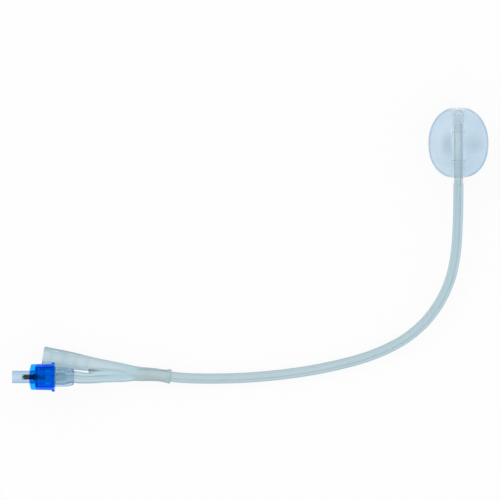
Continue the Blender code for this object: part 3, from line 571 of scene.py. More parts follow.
eye_angle = np.arange(EYE_SIDES) * math.tau / EYE_SIDES
eye_x = EYE_WIDTH / 2 * np.cos(eye_angle)
eye_y = EYE_WIDTH / 2 * np.sin(eye_angle) + np.sign(np.sin(eye_angle)) * (EYE_LENGTH - EYE_WIDTH) / 2
eye_centre = (BALLOON_X, TIP_START_Y + TIP_LENGTH - EYE_SETBACK, BALLOON_AXIS_HEIGHT)
eye_rings = np.stack([np.broadcast_to(EYE_REACHES[:, None], (len(EYE_REACHES), EYE_SIDES)),
                      EYE_FLARES[:, None] * eye_y, EYE_FLARES[:, None] * eye_x], axis=-1) + eye_centre
eye_mesh = merged(shell_mesh("eye", (eye_rings[::-1], False)))

TIP_SILICONE = moulded_material(
    "tip_silicone", TIP_PALE, TIP_DEEP, mottle=500, grain=900, smooth=0.14, dull=0.24, bump=0.03 * MM,
    IOR=1.30, Transmission_Weight=1.0)
tip_mesh = cut_away(tip_mesh, [eye_mesh])
closed_tip = finished("closed_tip", tip_mesh, TIP_SILICONE, "catheter", "tip")

# Balloon: a thin silicone membrane, moulded with a cuff at each end, bonded over the recess of the
# shaft and blown up. Its ends fold back into narrow craters round the cuffs.
BALLOON_RADIUS = 19.85 * MM
BALLOON_POLE = 23.6 * MM
DISTAL_FULLNESS = 2.1
PROXIMAL_FULLNESS = 2.3
MEMBRANE = 0.45 * MM
CRATER_GAP = 0.4 * MM
CRATER_RIM_RADIUS = 1.0 * MM
DISTAL_FOLD = 7.0 * MM
DISTAL_CUFF = 5.1 * MM
PROXIMAL_FOLD = 11.9 * MM
PROXIMAL_CUFF = 15.4 * MM
CUFF_WALL = 0.45 * MM
CUFF_TAPER = 3.0 * MM
CUFF_TAPER_MIDDLE = 0.06 * MM
CUFF_TAPER_DEPTH = 0.3 * MM
BALLOON_SIDES = 128
BALLOON_STEPS = 81
MEMBRANE_PALE = (0.79, 0.875, 0.94, 1.0)
MEMBRANE_DEEP = (0.72, 0.82, 0.90, 1.0)
MEMBRANE_RIM_SHADE = (0.20, 0.42, 0.64, 1.0)
MEMBRANE_RIM_SHADE_FACING = (0.64, 0.82)
SHADE_PATCH_COLOUR = (0.66, 0.76, 0.83, 1.0)
# (centre, reach) of the patches of painted shade on the membrane
LEFT_SHADE_PATCH = ((130.2 * MM, 68.5 * MM, 36 * MM), (6 * MM, 10 * MM, 16 * MM))
RIGHT_SHADE_PATCH = ((148.5 * MM, 70.0 * MM, 34 * MM), (10 * MM, 8 * MM, 16 * MM))
# Distances from the balloon's axis: painted light pales the membrane inside the first, and its painted rim
# shade starts past it
CUFF_REACH = 5.0 * MM
MEMBRANE_REACH = 8.0 * MM


def vector_node(nodes, links, operation, *values):
    """A Vector Math node on vectors or sockets; returns a vector, or a length's or product's number."""
    output = "Value" if operation in ("LENGTH", "DOT_PRODUCT") else "Vector"
    return math_node(nodes, links, operation, *values, kind="ShaderNodeVectorMath", output=output)


def ellipsoid_group():
    """A node group for an ellipsoid: the distance from its centre in shares of its reach on each axis.

    Its share is 1 in the ellipsoid's core and falls to 0 at its reach. An axis of reach 0 is left out.
    """
    group, nodes, links, start, end = new_group(
        "ellipsoid", [("Vector", "Vector"), ("Centre", "Vector"), ("Reach", "Vector")],
        [("Distance", "Float"), ("Share", "Float")])
    offset = vector_node(nodes, links, "SUBTRACT", start.outputs["Vector"], start.outputs["Centre"])
    offset = vector_node(nodes, links, "DIVIDE", offset, start.outputs["Reach"])
    distance = vector_node(nodes, links, "LENGTH", offset)
    links.new(distance, end.inputs["Distance"])
    links.new(ramp(nodes, links, distance, 1.0, 0.3), end.inputs["Share"])
    return group


ELLIPSOID = ellipsoid_group()


def ellipsoid(nodes, links, centre, reach):
    """An ellipsoid node in Object coordinates; returns its outputs."""
    node = nodes.new("ShaderNodeGroup")
    node.node_tree = ELLIPSOID
    links.new(nodes["Texture Coordinate"].outputs["Object"], node.inputs["Vector"])
    return set_inputs(node, Centre=centre, Reach=reach).outputs


def membrane_painted_light_and_shade(material):
    """Finishes the membrane's colour.

    It is paled near the balloon's axis, where it is bonded over the cuffs: painted light against the
    shade of the stacked layers. It has two patches of painted shade, and a painted darker rim where it turns
    away.
    """
    nodes, links = material.node_tree.nodes, material.node_tree.links
    for patch in (LEFT_SHADE_PATCH, RIGHT_SHADE_PATCH):
        mix_in(material, ellipsoid(nodes, links, *patch)["Share"], SHADE_PATCH_COLOUR)
    drop = ellipsoid(nodes, links, (BALLOON_X, 0, BALLOON_AXIS_HEIGHT), (1, 0, 1))["Distance"]
    # Painted light: the membrane is paled near the axis, over the cuffs, against the shade of the stacked
    # layers.
    mix_in(material, ramp(nodes, links, drop, MEMBRANE_REACH, CUFF_REACH), WHITE)
    away = ramp(nodes, links, drop, CUFF_REACH, MEMBRANE_REACH)
    # Painted shade: a darker rim where the membrane turns away.
    rim = math_node(nodes, links, "MULTIPLY", facing_away(nodes, links, MEMBRANE_RIM_SHADE_FACING), away)
    mix_in(material, rim, MEMBRANE_RIM_SHADE)


cuff_bore = RECESS_RADIUS + BOND_GAP
cuff_radius = cuff_bore + CUFF_WALL
rim_centre = cuff_radius + CRATER_GAP + CRATER_RIM_RADIUS
fold_centre = cuff_radius + CRATER_GAP / 2


def arc(centre, radius, start, end, steps):
    """Points of an arc in (radius, height), its angles in degrees from the +radius direction."""
    a = np.radians(np.linspace(start, end, steps))
    return np.column_stack([centre[0] + radius * np.cos(a), centre[1] + radius * np.sin(a)])


def balloon_end(fold, cuff, fullness, inset):
    """One end's outline: rim of the crater, fold at its floor, and the cuff, for a wall's inset.

    The rim's arc leaves the membrane where the superellipse r^n + h^n = 1 has the same slope.
    """
    share = (rim_centre + CRATER_RIM_RADIUS / 4) / BALLOON_RADIUS
    fall = share ** (fullness - 1) * (1 - share ** fullness) ** (1 / fullness - 1)
    tangent = math.atan2(BALLOON_RADIUS, BALLOON_POLE * fall)
    touch = (rim_centre + CRATER_RIM_RADIUS * math.cos(tangent)) / BALLOON_RADIUS
    crown = BALLOON_POLE * (1 - touch ** fullness) ** (1 / fullness) - CRATER_RIM_RADIUS * math.sin(tangent)
    rim = arc((rim_centre, crown), CRATER_RIM_RADIUS - inset, math.degrees(tangent), 180, steps=14)
    floor = fold + CRATER_GAP / 2
    if inset:
        turn = arc((fold_centre, floor), CRATER_GAP / 2 + inset, 0, -170, steps=12)
        return np.vstack([rim, turn, [(cuff_bore, floor), (cuff_bore, floor + cuff)]])
    turn = arc((fold_centre, floor), CRATER_GAP / 2, 0, -180, steps=10)
    end = [(cuff_radius, floor + cuff - CUFF_TAPER),
           (cuff_radius - CUFF_TAPER_MIDDLE, floor + cuff - CUFF_TAPER / 2),
           (cuff_radius - CUFF_TAPER_DEPTH, floor + cuff)]
    return np.vstack([rim, turn, end])


def balloon_outline(inset):
    """From the cuff at the tip, over the superellipse, to the cuff on the shaft's side.

    Radius and height are the 2/n powers of cos a and sin a; each half has its own fullness n.
    """
    half = np.linspace(1, -1, BALLOON_STEPS)
    fullness = np.where(half > 0, DISTAL_FULLNESS, PROXIMAL_FULLNESS)
    top = np.arccos(((rim_centre + CRATER_RIM_RADIUS) / BALLOON_RADIUS) ** (fullness / 2))
    a = np.abs(half) * top
    side = np.column_stack([(BALLOON_RADIUS - inset) * np.cos(a) ** (2 / fullness),
                            (BALLOON_POLE - inset) * np.sin(a) ** (2 / fullness) * np.sign(half)])
    distal = balloon_end(DISTAL_FOLD, DISTAL_CUFF, DISTAL_FULLNESS, inset)
    proximal = balloon_end(PROXIMAL_FOLD, PROXIMAL_CUFF, PROXIMAL_FULLNESS, inset) * (1, -1)
    return np.vstack([distal[::-1], side, proximal])


balloon_axis = np.array([(BALLOON_X, BALLOON_Y, BALLOON_AXIS_HEIGHT),
                         (BALLOON_X, BALLOON_Y + MM, BALLOON_AXIS_HEIGHT)])
skins = []
for outline, table_gap in ((balloon_outline(0.0)[::-1], 0.0), (balloon_outline(MEMBRANE), MEMBRANE)):
    skin = rings_about(balloon_axis, outline[:, 1], outline[:, 0], BALLOON_SIDES)
    skin[..., 2] = np.maximum(skin[..., 2], table_gap)
    skins.append(skin)
balloon_mesh = shell_mesh("inflated_balloon", (np.vstack(skins), True))

MEMBRANE_SILICONE = moulded_material(
    "balloon_membrane", MEMBRANE_PALE, MEMBRANE_DEEP, mottle=45, grain=200, smooth=0.03, dull=0.06,
    bump=0.004 * MM, IOR=1.18, Transmission_Weight=1.0)
membrane_painted_light_and_shade(MEMBRANE_SILICONE)
inflated_balloon = finished(
    "inflated_balloon", balloon_mesh, MEMBRANE_SILICONE, "catheter", "balloon")

# Y moulding: one silicone piece over the end of the shaft, with the drainage funnel and the arm
# for inflation. The funnel has ring ribs inside, and a thin web fills the crotch.
VALVE_X = -157.1 * MM
VALVE_Y = -83.9 * MM
VALVE_HEIGHT = 16.995 * MM
CUP_END = 40.65 * MM
CUP_SHOULDER = 7.0 * MM
CUP_BORE = 5.35 * MM
FIT_GAP = 0.35 * MM
PLUG_FRONT = 28.6 * MM
PLUG_CONE_SETBACK = 1.6 * MM
PLUG_CONE_LENGTH = 3.4 * MM
SPIGOT_END = 35.0 * MM
SPIGOT_BORE = 2.4 * MM
SOCKET_BORE = SHAFT_RADIUS + BOND_GAP
# (distance from the shaft's start, wall)
SOCKET_WALLS = MM * np.array([(0.0, 1.1), (9.6, 0.75), (20.1, 0.9), (21.2, 1.2), (22.3, 1.2)])
# (x, y, z, outer radius, bore radius)
FUNNEL_STATIONS = MM * np.array([
    (-137.3, -70.4, 6.55, 6.5, 4.5), (-118.3, -73.45, 6.1, 5.7, 3.7), (-106.2, -75.6, 5.8, 4.8, 3.25),
    (-95.2, -77.3, 5.5, 4.2, 2.65), (-86.0, -78.9, 5.2, 4.0, 2.25)])
# (x and y in mm, share of the rise from the socket to the valve)
ARM_STATIONS = [(-112.7, -84.3, 0.965), (-109.3, -84.7, 0.850), (-104.6, -84.7, 0.642), (-98.1, -84.3, 0.374),
                (-91.5, -84.1, 0.187), (-83.6, -83.9, 0.065), (-79.5, -83.5, 0.022)]
ARM_RADIUS = 3.6 * MM
ARM_COLLAR_RADIUS = 3.9 * MM
ARM_ROOT_RADIUS = 4.3 * MM
ARM_ROOT_REACH = 4.8 * MM
CHANNEL_RADIUS = 1.0 * MM
CHANNEL_LEAD = 0.9 * MM
CUTTER_LEAD = 3.0 * MM
# (x, radius)
WEB_STATIONS = MM * np.array([(-107.0, 0.7), (-105.5, 1.7), (-102.0, 2.6), (-95.5, 3.4), (-87.0, 4.0)])
RIB_FIRST = 5.5 * MM
RIB_PITCH = 8.1 * MM
RIB_COUNT = 4
RIB_HEIGHT = 0.35 * MM
RIB_HALF_WIDTH = 0.9 * MM
RIB_STEPS = 9
MOUTH_FLARE = 0.35 * MM
MOUTH_REACHES = MM * np.array([-4, -0.01, 0.5, 1.3])
MOUTH_SHARES = np.array([1, 1, 0.9, 0.15])
VOXEL = 0.32 * MM
RELAX_STEPS = 10
SOCKET_RINGS = 18
ROD_SIDES = 64
ROD_SAMPLES = 10
CHANNEL_SIDES = 32
SILICONE_PALE = (0.945, 0.985, 1.0, 1.0)
SILICONE_DEEP = (0.885, 0.95, 0.98, 1.0)
SILICONE_RIM_SHADE = (0.44, 0.60, 0.69, 1.0)
SILICONE_RIM_SHADE_FACING = (0.24, 0.64)
SILICONE_DEPTH = ((0.44, 0.72, 0.80, 1.0), 120)
RIB_SHADE_COLOUR = (0.72, 0.82, 0.88, 1.0)
RIB_FADE = (0.75 * MM, 0.35 * MM)
RIB_TOP_FADE = (0.45 * MM, 0.15 * MM)
CROTCH_SATIN_AND_LIGHT = ((-102.0 * MM, -80.7 * MM, 9.0 * MM), (8.0 * MM, 3.0 * MM, 8.0 * MM))
CROTCH_ROUGHNESS = 0.65


def tapered_rod(stations, sides=ROD_SIDES):
    """A closed shell of rings through stations (x, y, z, radius), with a pole at each end."""
    stations = np.asarray(stations, float)
    steps = distances_along(stations[:, :3])
    steps = np.concatenate([steps[:1], steps, steps[-1:]])
    radii = np.concatenate([[0.0], stations[:, 3], [0.0]])
    return rings_about(stations[:, :3], steps, radii, sides), False


def with_radius(line, radius):
    """Adds one radius, or a list of them, to the places of a line."""
    line = np.atleast_2d(line)
    return np.column_stack([line, np.broadcast_to(radius, len(line))])


def at_x(line, x):
    """Where a line that runs along +X crosses the plane at x."""
    return np.array([np.interp(x, line[:, 0], column) for column in line.T])


def in_valve(reach):
    """The place on the valve's axis at a reach from its front."""
    return (VALVE_X + reach, VALVE_Y, VALVE_HEIGHT)


socket_line = at_distances(shaft_line, SOCKET_WALLS[:, 0])
socket_outside = with_radius(socket_line, SOCKET_BORE + SOCKET_WALLS[:, 1])
funnel_rod = smooth_route(np.vstack([FUNNEL_STATIONS[:, :4], socket_outside]), ROD_SAMPLES)
plug_cone = CUP_END - CUP_SHOULDER + PLUG_CONE_SETBACK
plug = [(*in_valve(PLUG_FRONT), CUP_BORE - FIT_GAP), (*in_valve(plug_cone - FIT_GAP), CUP_BORE - FIT_GAP),
        (*in_valve(plug_cone + PLUG_CONE_LENGTH - FIT_GAP), ARM_COLLAR_RADIUS)]
arm_line = [(x * MM, y * MM, SOCKET_AXIS_HEIGHT + (VALVE_HEIGHT - SOCKET_AXIS_HEIGHT) * rise)
            for x, y, rise in ARM_STATIONS]
arm_start = in_valve(CUP_END + FIT_GAP)
arm_root = at_distances(shaft_line, np.array([0.0, ARM_ROOT_REACH]))
arm_stations = np.vstack([with_radius([arm_start, arm_line[0]], ARM_COLLAR_RADIUS),
                          with_radius(arm_line[1:], ARM_RADIUS), with_radius(arm_root, ARM_ROOT_RADIUS)])
arm_rod = np.vstack([plug, smooth_route(arm_stations, ROD_SAMPLES)])
funnel_fine, arm_fine = smooth_route(FUNNEL_STATIONS), smooth_route(arm_stations)
web_line = [(at_x(funnel_fine, x)[:3] + at_x(arm_fine, x)[:3]) / 2 for x in WEB_STATIONS[:, 0]]
web_rod = smooth_route(np.vstack([with_radius(web_line, WEB_STATIONS[:, 1]),
                                  with_radius(shaft_line[0], SOCKET_BORE)]), samples=8)
solid = carrier_of(merged(shell_mesh("y_solid", *map(tapered_rod, (funnel_rod, arm_rod, web_rod)))))
remesh = solid.modifiers.new("skin", "REMESH")
remesh.mode = "VOXEL"
remesh.voxel_size = VOXEL
relax = solid.modifiers.new("relax", "SMOOTH")
relax.factor = 0.5
relax.iterations = RELAX_STEPS
y_mesh = evaluated(solid)

bore_stations = FUNNEL_STATIONS[:, [0, 1, 2, 4]]
bore_line = smooth_route(bore_stations)
rib_distances = RIB_FIRST + RIB_PITCH * np.arange(RIB_COUNT)
rib_steps = (rib_distances[:, None] + RIB_HALF_WIDTH * np.linspace(-1, 1, RIB_STEPS)).ravel()
rib_profile = RIB_HEIGHT * (0.5 + 0.5 * np.cos(np.linspace(-math.pi, math.pi, RIB_STEPS)))
ribbed = at_distances(bore_line, rib_steps)
ribbed[:, 3] -= np.tile(rib_profile, RIB_COUNT)
mouth = at_distances(bore_line, MOUTH_REACHES)
mouth[:, 3] += MOUTH_FLARE * MOUTH_SHARES
along_shaft = (shaft_line[1] - shaft_line[0]) / np.linalg.norm(shaft_line[1] - shaft_line[0])
side_shaft = np.cross(along_shaft, (0, 0, 1))
side_shaft /= np.linalg.norm(side_shaft)
up_shaft = np.cross(side_shaft, along_shaft)
drainage_ends, inflation_ends = [
    shaft_line[0] + side_shaft * shift[0] + up_shaft * shift[1] - np.outer([CHANNEL_LEAD, 0], along_shaft)
    for shift in (drainage_shift, inflation_shift)]
narrowing = smooth_route(np.vstack([ribbed[-1:], bore_stations[2:],
                                    with_radius(drainage_ends, DRAINAGE_RADIUS)]), ROD_SAMPLES)
funnel_cut = tapered_rod(np.vstack([mouth, ribbed, narrowing[1:]]))
socket_steps = np.concatenate([[-BOND_GAP] * 2, np.linspace(0, SOCKET_LENGTH + CUTTER_LEAD, SOCKET_RINGS)])
socket_steps = np.append(socket_steps, socket_steps[-1])
socket_radii = np.full(len(socket_steps), SOCKET_BORE)
socket_radii[[0, -1]] = 0
socket_cut = (rings_about(shaft_line, socket_steps, socket_radii, ROD_SIDES), False)
channel_line = np.vstack([in_valve(SPIGOT_END + BOND_GAP), arm_start, *arm_line[:-2],
                          (arm_line[-2] + inflation_ends[0]) / 2])
channel = np.vstack([
    with_radius([in_valve(PLUG_FRONT - CUTTER_LEAD), in_valve(SPIGOT_END)], SPIGOT_BORE),
    smooth_route(np.vstack([with_radius(channel_line, CHANNEL_RADIUS),
                            with_radius(inflation_ends, INFLATION_RADIUS)]), ROD_SAMPLES)])
channel_cut = tapered_rod(channel, CHANNEL_SIDES)
cutters = [merged(shell_mesh("cut", shell)) for shell in (funnel_cut, socket_cut, channel_cut)]
y_mesh = cut_away(y_mesh, cutters)


def satin_and_painted_light_crotch(material):
    """Makes the moulding satin in the crotch, an ellipsoid about the crease, where it is hard to polish,
    and paler there: painted light that lifts the shade in the crease.
    """
    nodes, links = material.node_tree.nodes, material.node_tree.links
    share = ellipsoid(nodes, links, *CROTCH_SATIN_AND_LIGHT)["Share"]
    # Painted light: the crotch is paled to lift the shade in the crease.
    mix_in(material, share, WHITE)
    dull = nodes["Principled BSDF"].inputs["Roughness"]
    satin = math_node(nodes, links, "MULTIPLY", share, CROTCH_ROUGHNESS)
    links.new(math_node(nodes, links, "MAXIMUM", dull.links[0].from_socket, satin), dull)


def painted_rib_shade(material):
    """Deepens the ring ribs inside the funnel with painted shade.

    The folded distance from a rib along the funnel's straight axis is small, and so is the height
    over the bore, which narrows evenly.
    """
    nodes, links = material.node_tree.nodes, material.node_tree.links
    mouth, inner = FUNNEL_STATIONS[0], FUNNEL_STATIONS[2]
    length = np.linalg.norm((inner - mouth)[:3])
    axis = (inner - mouth)[:3] / length
    place = vector_node(nodes, links, "SUBTRACT", nodes["Texture Coordinate"].outputs["Object"], mouth[:3])
    along = vector_node(nodes, links, "DOT_PRODUCT", place, axis)
    aside = vector_node(nodes, links, "LENGTH", vector_node(nodes, links, "CROSS_PRODUCT", place, axis))
    fold = math_node(nodes, links, "SUBTRACT", along, RIB_FIRST)
    fold = math_node(nodes, links, "PINGPONG", fold, RIB_PITCH / 2)
    bore = math_node(nodes, links, "MULTIPLY", along, (inner[4] - mouth[4]) / length)
    bore = math_node(nodes, links, "ADD", bore, mouth[4])
    height = math_node(nodes, links, "SUBTRACT", aside, bore)
    share = math_node(nodes, links, "MULTIPLY", ramp(nodes, links, fold, *RIB_FADE),
                      ramp(nodes, links, height, *RIB_TOP_FADE))
    share = math_node(nodes, links, "MULTIPLY", share, ramp(nodes, links, along, length, length - MM))
    # Painted shade on the ribs.
    mix_in(material, share, RIB_SHADE_COLOUR)


SILICONE = moulded_material(
    "moulded_silicone", SILICONE_PALE, SILICONE_DEEP, mottle=60, grain=400, smooth=0.28, dull=0.32,
    bump=0.0012 * MM, inside=SILICONE_DEPTH, IOR=1.28, Transmission_Weight=0.90)
# Painted shade: a darker rim along the moulding's edges.
painted_rim_shade(SILICONE, SILICONE_RIM_SHADE, SILICONE_RIM_SHADE_FACING)
painted_rib_shade(SILICONE)
satin_and_painted_light_crotch(SILICONE)
drainage_funnel = finished("drainage_funnel", y_mesh, SILICONE, "catheter", "y_funnel")

# Valve inlet: a clear moulded luer socket with a flange, for the tip of a syringe. A cone inside is
# the seat of the black stopper.
LUER_MOUTH_RADIUS = 2.15 * MM
LUER_END_RADIUS = 1.931 * MM
LUER_DEPTH = 7.3 * MM
SEAT_START = 13.0 * MM
SEAT_END = 14.6 * MM
CHAMBER_RADIUS = 2.9 * MM
INLET_RADIUS = 4.15 * MM
INLET_BARREL_RADIUS = 5.0 * MM
INLET_END = 21.8 * MM
INLET_FLANGE_START = 15.5 * MM
INLET_FLANGE_END = 16.6 * MM
CUP_RADIUS = 6.75 * MM
VALVE_SIDES = 72
CLEAR_PALE = (0.97, 0.98, 0.99, 1.0)
CLEAR_DEEP = (0.93, 0.96, 0.98, 1.0)
CLEAR_RIM_SHADE = (0.34, 0.52, 0.76, 1.0)
CLEAR_RIM_SHADE_FACING = (0.28, 0.62)
CLEAR_DEPTH = ((0.30, 0.60, 0.82, 1.0), 160)


def turned(name, outline, rounding, material, body, node, loop=True):
    """A piece turned about the valve's axis from its outline of (radius, reach), corners rounded."""
    outline = np.array(outline, float)
    if loop:
        outline = rounded(np.vstack([outline[-1:], outline, outline[:1]]), rounding)[1:-1]
    else:
        outline = rounded(outline, rounding)
    rings = rings_about(np.array([in_valve(0), in_valve(MM)]), outline[:, 1], outline[:, 0], VALVE_SIDES)
    return finished(name, shell_mesh(name, (rings, loop)), material, body, node)


CLEAR_PLASTIC = moulded_material(
    "clear_plastic", CLEAR_PALE, CLEAR_DEEP, mottle=120, grain=400, smooth=0.04, dull=0.07, bump=0.001 * MM,
    inside=CLEAR_DEPTH, IOR=1.34, Transmission_Weight=1.0)
# Painted shade: a darker blue rim on the clear valve parts.
painted_rim_shade(CLEAR_PLASTIC, CLEAR_RIM_SHADE, CLEAR_RIM_SHADE_FACING)
luer_inlet = turned(
    "luer_inlet",
    [(CHAMBER_RADIUS, INLET_END), (CHAMBER_RADIUS, SEAT_END), (LUER_END_RADIUS, SEAT_START),
     (LUER_END_RADIUS, LUER_DEPTH), (LUER_MOUTH_RADIUS, 0), (INLET_RADIUS, 0),
     (INLET_RADIUS, INLET_FLANGE_START), (CUP_RADIUS, INLET_FLANGE_START), (CUP_RADIUS, INLET_FLANGE_END),
     (INLET_BARREL_RADIUS, INLET_FLANGE_END), (INLET_BARREL_RADIUS, INLET_END)],
    0.35 * MM, CLEAR_PLASTIC, "catheter", "valve_inlet")

# Valve stopper: a black rubber sleeve with a conical flange. It slides with the pin and closes the
# inlet against the cone.
STOPPER_BORE = 0.9 * MM
STOPPER_RADIUS = 1.7 * MM
STOPPER_FLANGE_RADIUS = 2.55 * MM
STOPPER_FLANGE_THICKNESS = 1.1 * MM
STOPPER_CONE_LENGTH = 1.4 * MM
RUBBER_PALE = (0.020, 0.020, 0.023, 1.0)
RUBBER_DEEP = (0.011, 0.011, 0.013, 1.0)

STOPPER_RUBBER = moulded_material(
    "stopper_rubber", RUBBER_PALE, RUBBER_DEEP, mottle=300, grain=2500, smooth=0.45, dull=0.65,
    bump=0.02 * MM)
stopper_front, stopper_end = [corner.x - VALVE_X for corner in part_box("valve_stopper")]
flange_front = stopper_end - STOPPER_FLANGE_THICKNESS
black_stopper = turned(
    "black_stopper",
    [(STOPPER_BORE, stopper_end), (STOPPER_BORE, stopper_front), (STOPPER_RADIUS, stopper_front),
     (STOPPER_RADIUS, flange_front - STOPPER_CONE_LENGTH), (STOPPER_FLANGE_RADIUS, flange_front),
     (STOPPER_FLANGE_RADIUS, stopper_end)],
    0.15 * MM, STOPPER_RUBBER, "plunger", "valve_stopper")

# Valve pin: a white moulded pin with a head in front of the stopper and a disc behind it, which the
# syringe's tip pushes in.
PIN_RADIUS = 0.6 * MM
PIN_HEAD_RADIUS = 1.7 * MM
PIN_DISC_RADIUS = 2.3 * MM
PIN_DISC_THICKNESS = 0.6 * MM
PIN_GAP = 0.3 * MM
PIN_PALE = (1.0, 1.0, 0.99, 1.0)
PIN_DEEP = (0.95, 0.95, 0.94, 1.0)

PIN_PLASTIC = moulded_material(
    "pin_plastic", PIN_PALE, PIN_DEEP, mottle=200, grain=1800, smooth=0.28, dull=0.42, bump=0.006 * MM)
pin_front, pin_end = [corner.x - VALVE_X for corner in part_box("valve_stem")]
head_end, disc_front = stopper_front - PIN_GAP, stopper_end + PIN_GAP
disc_end = disc_front + PIN_DISC_THICKNESS
white_pin = turned(
    "white_pin",
    [(0, pin_front), (PIN_HEAD_RADIUS, pin_front), (PIN_HEAD_RADIUS, head_end), (PIN_RADIUS, head_end),
     (PIN_RADIUS, disc_front), (PIN_DISC_RADIUS, disc_front), (PIN_DISC_RADIUS, disc_end),
     (PIN_RADIUS, disc_end), (PIN_RADIUS, pin_end), (0, pin_end)],
    0.2 * MM, PIN_PLASTIC, "plunger", "valve_stem", loop=False)

# Valve spring: a coil of steel wire between the pin's disc and the nozzle, which holds the valve
# shut. In the valve it shortens as the pin goes in; the coil here is drawn at one length.
COIL_RADIUS = 1.9 * MM
COIL_TURNS = 5
COIL_STEPS_PER_TURN = 48
WIRE_RADIUS = 0.22 * MM
WIRE_SIDES = 14
STEEL_PALE = (0.50, 0.51, 0.53, 1.0)
STEEL_DEEP = (0.40, 0.41, 0.43, 1.0)


def coil_rings(start, end):
    """Rings of a wire wound about the valve's axis, from a start to an end along X.

    The wire's middle is (start + pitch * turn, radius * cos, radius * sin); each ring stands on the
    outward direction and on the cross product of the wire's direction with it.
    """
    steps = COIL_STEPS_PER_TURN * COIL_TURNS
    turn = np.linspace(0, math.tau * COIL_TURNS, steps)
    outward = np.column_stack([np.zeros(steps), np.cos(turn), np.sin(turn)])
    middle = np.array(in_valve(0)) + COIL_RADIUS * outward
    middle[:, 0] = np.linspace(start, end, steps)
    ahead = np.gradient(middle, axis=0)
    ahead /= np.linalg.norm(ahead, axis=1, keepdims=True)
    side = np.cross(ahead, outward)
    a = np.arange(WIRE_SIDES) * math.tau / WIRE_SIDES
    ring = outward[:, None] * np.cos(a)[None, :, None] + side[:, None] * np.sin(a)[None, :, None]
    pole = (1, WIRE_SIDES, 3)
    return np.vstack([np.broadcast_to(middle[0], pole), middle[:, None] + WIRE_RADIUS * ring,
                      np.broadcast_to(middle[-1], pole)])


SPRING_STEEL = moulded_material(
    "spring_steel", STEEL_PALE, STEEL_DEEP, mottle=400, grain=3000, smooth=0.22, dull=0.38, bump=0.003 * MM,
    Metallic=1.0)
spring_low, spring_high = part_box("valve_spring")
coil = coil_rings(spring_low.x + WIRE_RADIUS, spring_high.x - WIRE_RADIUS)
spring_mesh = shell_mesh("coil_spring", (coil[::-1], False))
coil_spring = finished("coil_spring", spring_mesh, SPRING_STEEL, "catheter", "valve_spring")
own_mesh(coil_spring)

# Valve nozzle: a clear insert with the spring's pocket in front and a spigot behind, which goes
# into the plug of the silicone arm.
NOZZLE_BORE = 0.8 * MM
POCKET_RADIUS = 2.7 * MM
POCKET_FLOOR = 22.7 * MM
HUB_RADIUS = 3.4 * MM
HUB_FRONT = 22.1 * MM
NOZZLE_FLANGE_START = 25.8 * MM
NOZZLE_FLANGE_END = 28.3 * MM
NOZZLE_FLANGE_RADIUS = 5.0 * MM
SPIGOT_RADIUS = 2.1 * MM
NOZZLE_END = 34.7 * MM

spring_nozzle = turned(
    "spring_nozzle",
    [(NOZZLE_BORE, NOZZLE_END), (NOZZLE_BORE, POCKET_FLOOR), (POCKET_RADIUS, POCKET_FLOOR),
     (POCKET_RADIUS, HUB_FRONT), (HUB_RADIUS, HUB_FRONT), (HUB_RADIUS, NOZZLE_FLANGE_START),
     (NOZZLE_FLANGE_RADIUS, NOZZLE_FLANGE_START), (NOZZLE_FLANGE_RADIUS, NOZZLE_FLANGE_END),
     (SPIGOT_RADIUS, NOZZLE_FLANGE_END), (SPIGOT_RADIUS, NOZZLE_END)],
    0.2 * MM, CLEAR_PLASTIC, "catheter", "valve_nozzle")

# Valve cup: a clear plastic cup, pushed over the arm's plug, which grips it and holds the valve.
# Its end narrows to the arm in a round shoulder.
CUP_FRONT = 16.9 * MM
CUP_BARE_START = 28.15 * MM
CUP_BARE_STEP_END = 28.5 * MM
CUP_BARE_RADIUS = 6.55 * MM
SHOULDER_RADIUS = 6.42 * MM
CUP_END_RADIUS = 4.7 * MM
CUP_MOUTH_RADIUS = 4.25 * MM

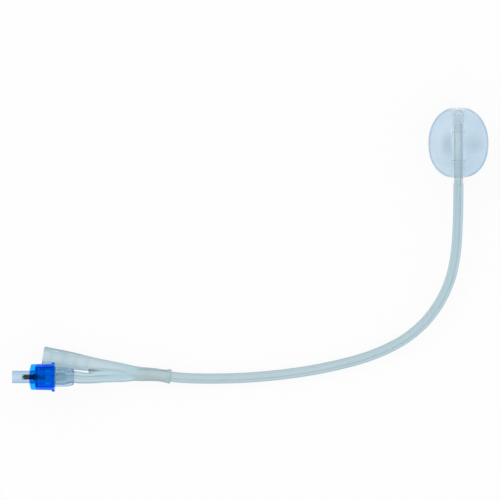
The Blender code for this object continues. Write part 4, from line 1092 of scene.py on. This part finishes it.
shoulder = quarter((SHOULDER_RADIUS, CUP_END - CUP_SHOULDER), (CUP_END_RADIUS, CUP_END), steps=14)
gripping_cup = turned(
    "gripping_cup",
    [(CUP_MOUTH_RADIUS, CUP_END), (CUP_MOUTH_RADIUS, plug_cone + PLUG_CONE_LENGTH), (CUP_BORE, plug_cone),
     (CUP_BORE, CUP_FRONT), (CUP_RADIUS, CUP_FRONT), (CUP_RADIUS, CUP_BARE_START),
     (CUP_BARE_RADIUS, CUP_BARE_STEP_END), *shoulder],
    0.15 * MM, CLEAR_PLASTIC, "catheter", "valve_cup")

# Size cap: a see-through blue plastic sleeve with a rear flange, pressed over the cup. Its colour
# tells the size of the catheter.
CAP_FRONT = 11.5 * MM
CAP_FRONT_RADIUS = 5.55 * MM
CAP_CHAMFER = [(8.25 * MM, 12.4 * MM), (8.52 * MM, 12.9 * MM)]
CAP_REAR_RADIUS = 8.72 * MM
CAP_FLANGE_RADIUS = 9.78 * MM
CAP_FLANGE_START = 26.2 * MM
CAP_END = 28.15 * MM
CAP_BORE = 7.1 * MM
CAP_FLOOR = 15.2 * MM
CAP_HOLE_RADIUS = 4.5 * MM
CAP_PALE = (0.01, 0.50, 1.0, 1.0)
CAP_DEEP = (0.008, 0.43, 1.0, 1.0)
CAP_RIM_SHADE = (0.001, 0.045, 1.0, 1.0)
CAP_RIM_SHADE_FACING = (0.25, 0.60)
CAP_RIM_SHADE_START = 15.0 * MM
CAP_GLOSS_TINT = (0.1, 0.4, 1.0, 1.0)

CAP_PLASTIC = moulded_material(
    "blue_cap_plastic", CAP_PALE, CAP_DEEP, mottle=150, grain=400, smooth=0.04, dull=0.07, bump=0.001 * MM,
    IOR=1.10, Transmission_Weight=1.0, Specular_Tint=CAP_GLOSS_TINT)
# Painted shade: a deeper blue rim on the cap behind its front.
painted_rim_shade(CAP_PLASTIC, CAP_RIM_SHADE, CAP_RIM_SHADE_FACING, VALVE_X + CAP_RIM_SHADE_START)
size_cap = turned(
    "size_cap",
    [(CAP_BORE, CAP_END), (CAP_BORE, CAP_FLOOR), (CAP_HOLE_RADIUS, CAP_FLOOR), (CAP_HOLE_RADIUS, CAP_FRONT),
     (CAP_FRONT_RADIUS, CAP_FRONT), *CAP_CHAMFER, (CAP_REAR_RADIUS, CAP_FLANGE_START),
     (CAP_FLANGE_RADIUS, CAP_FLANGE_START), (CAP_FLANGE_RADIUS, CAP_END)],
    0.3 * MM, CAP_PLASTIC, "catheter", "colour_cap")
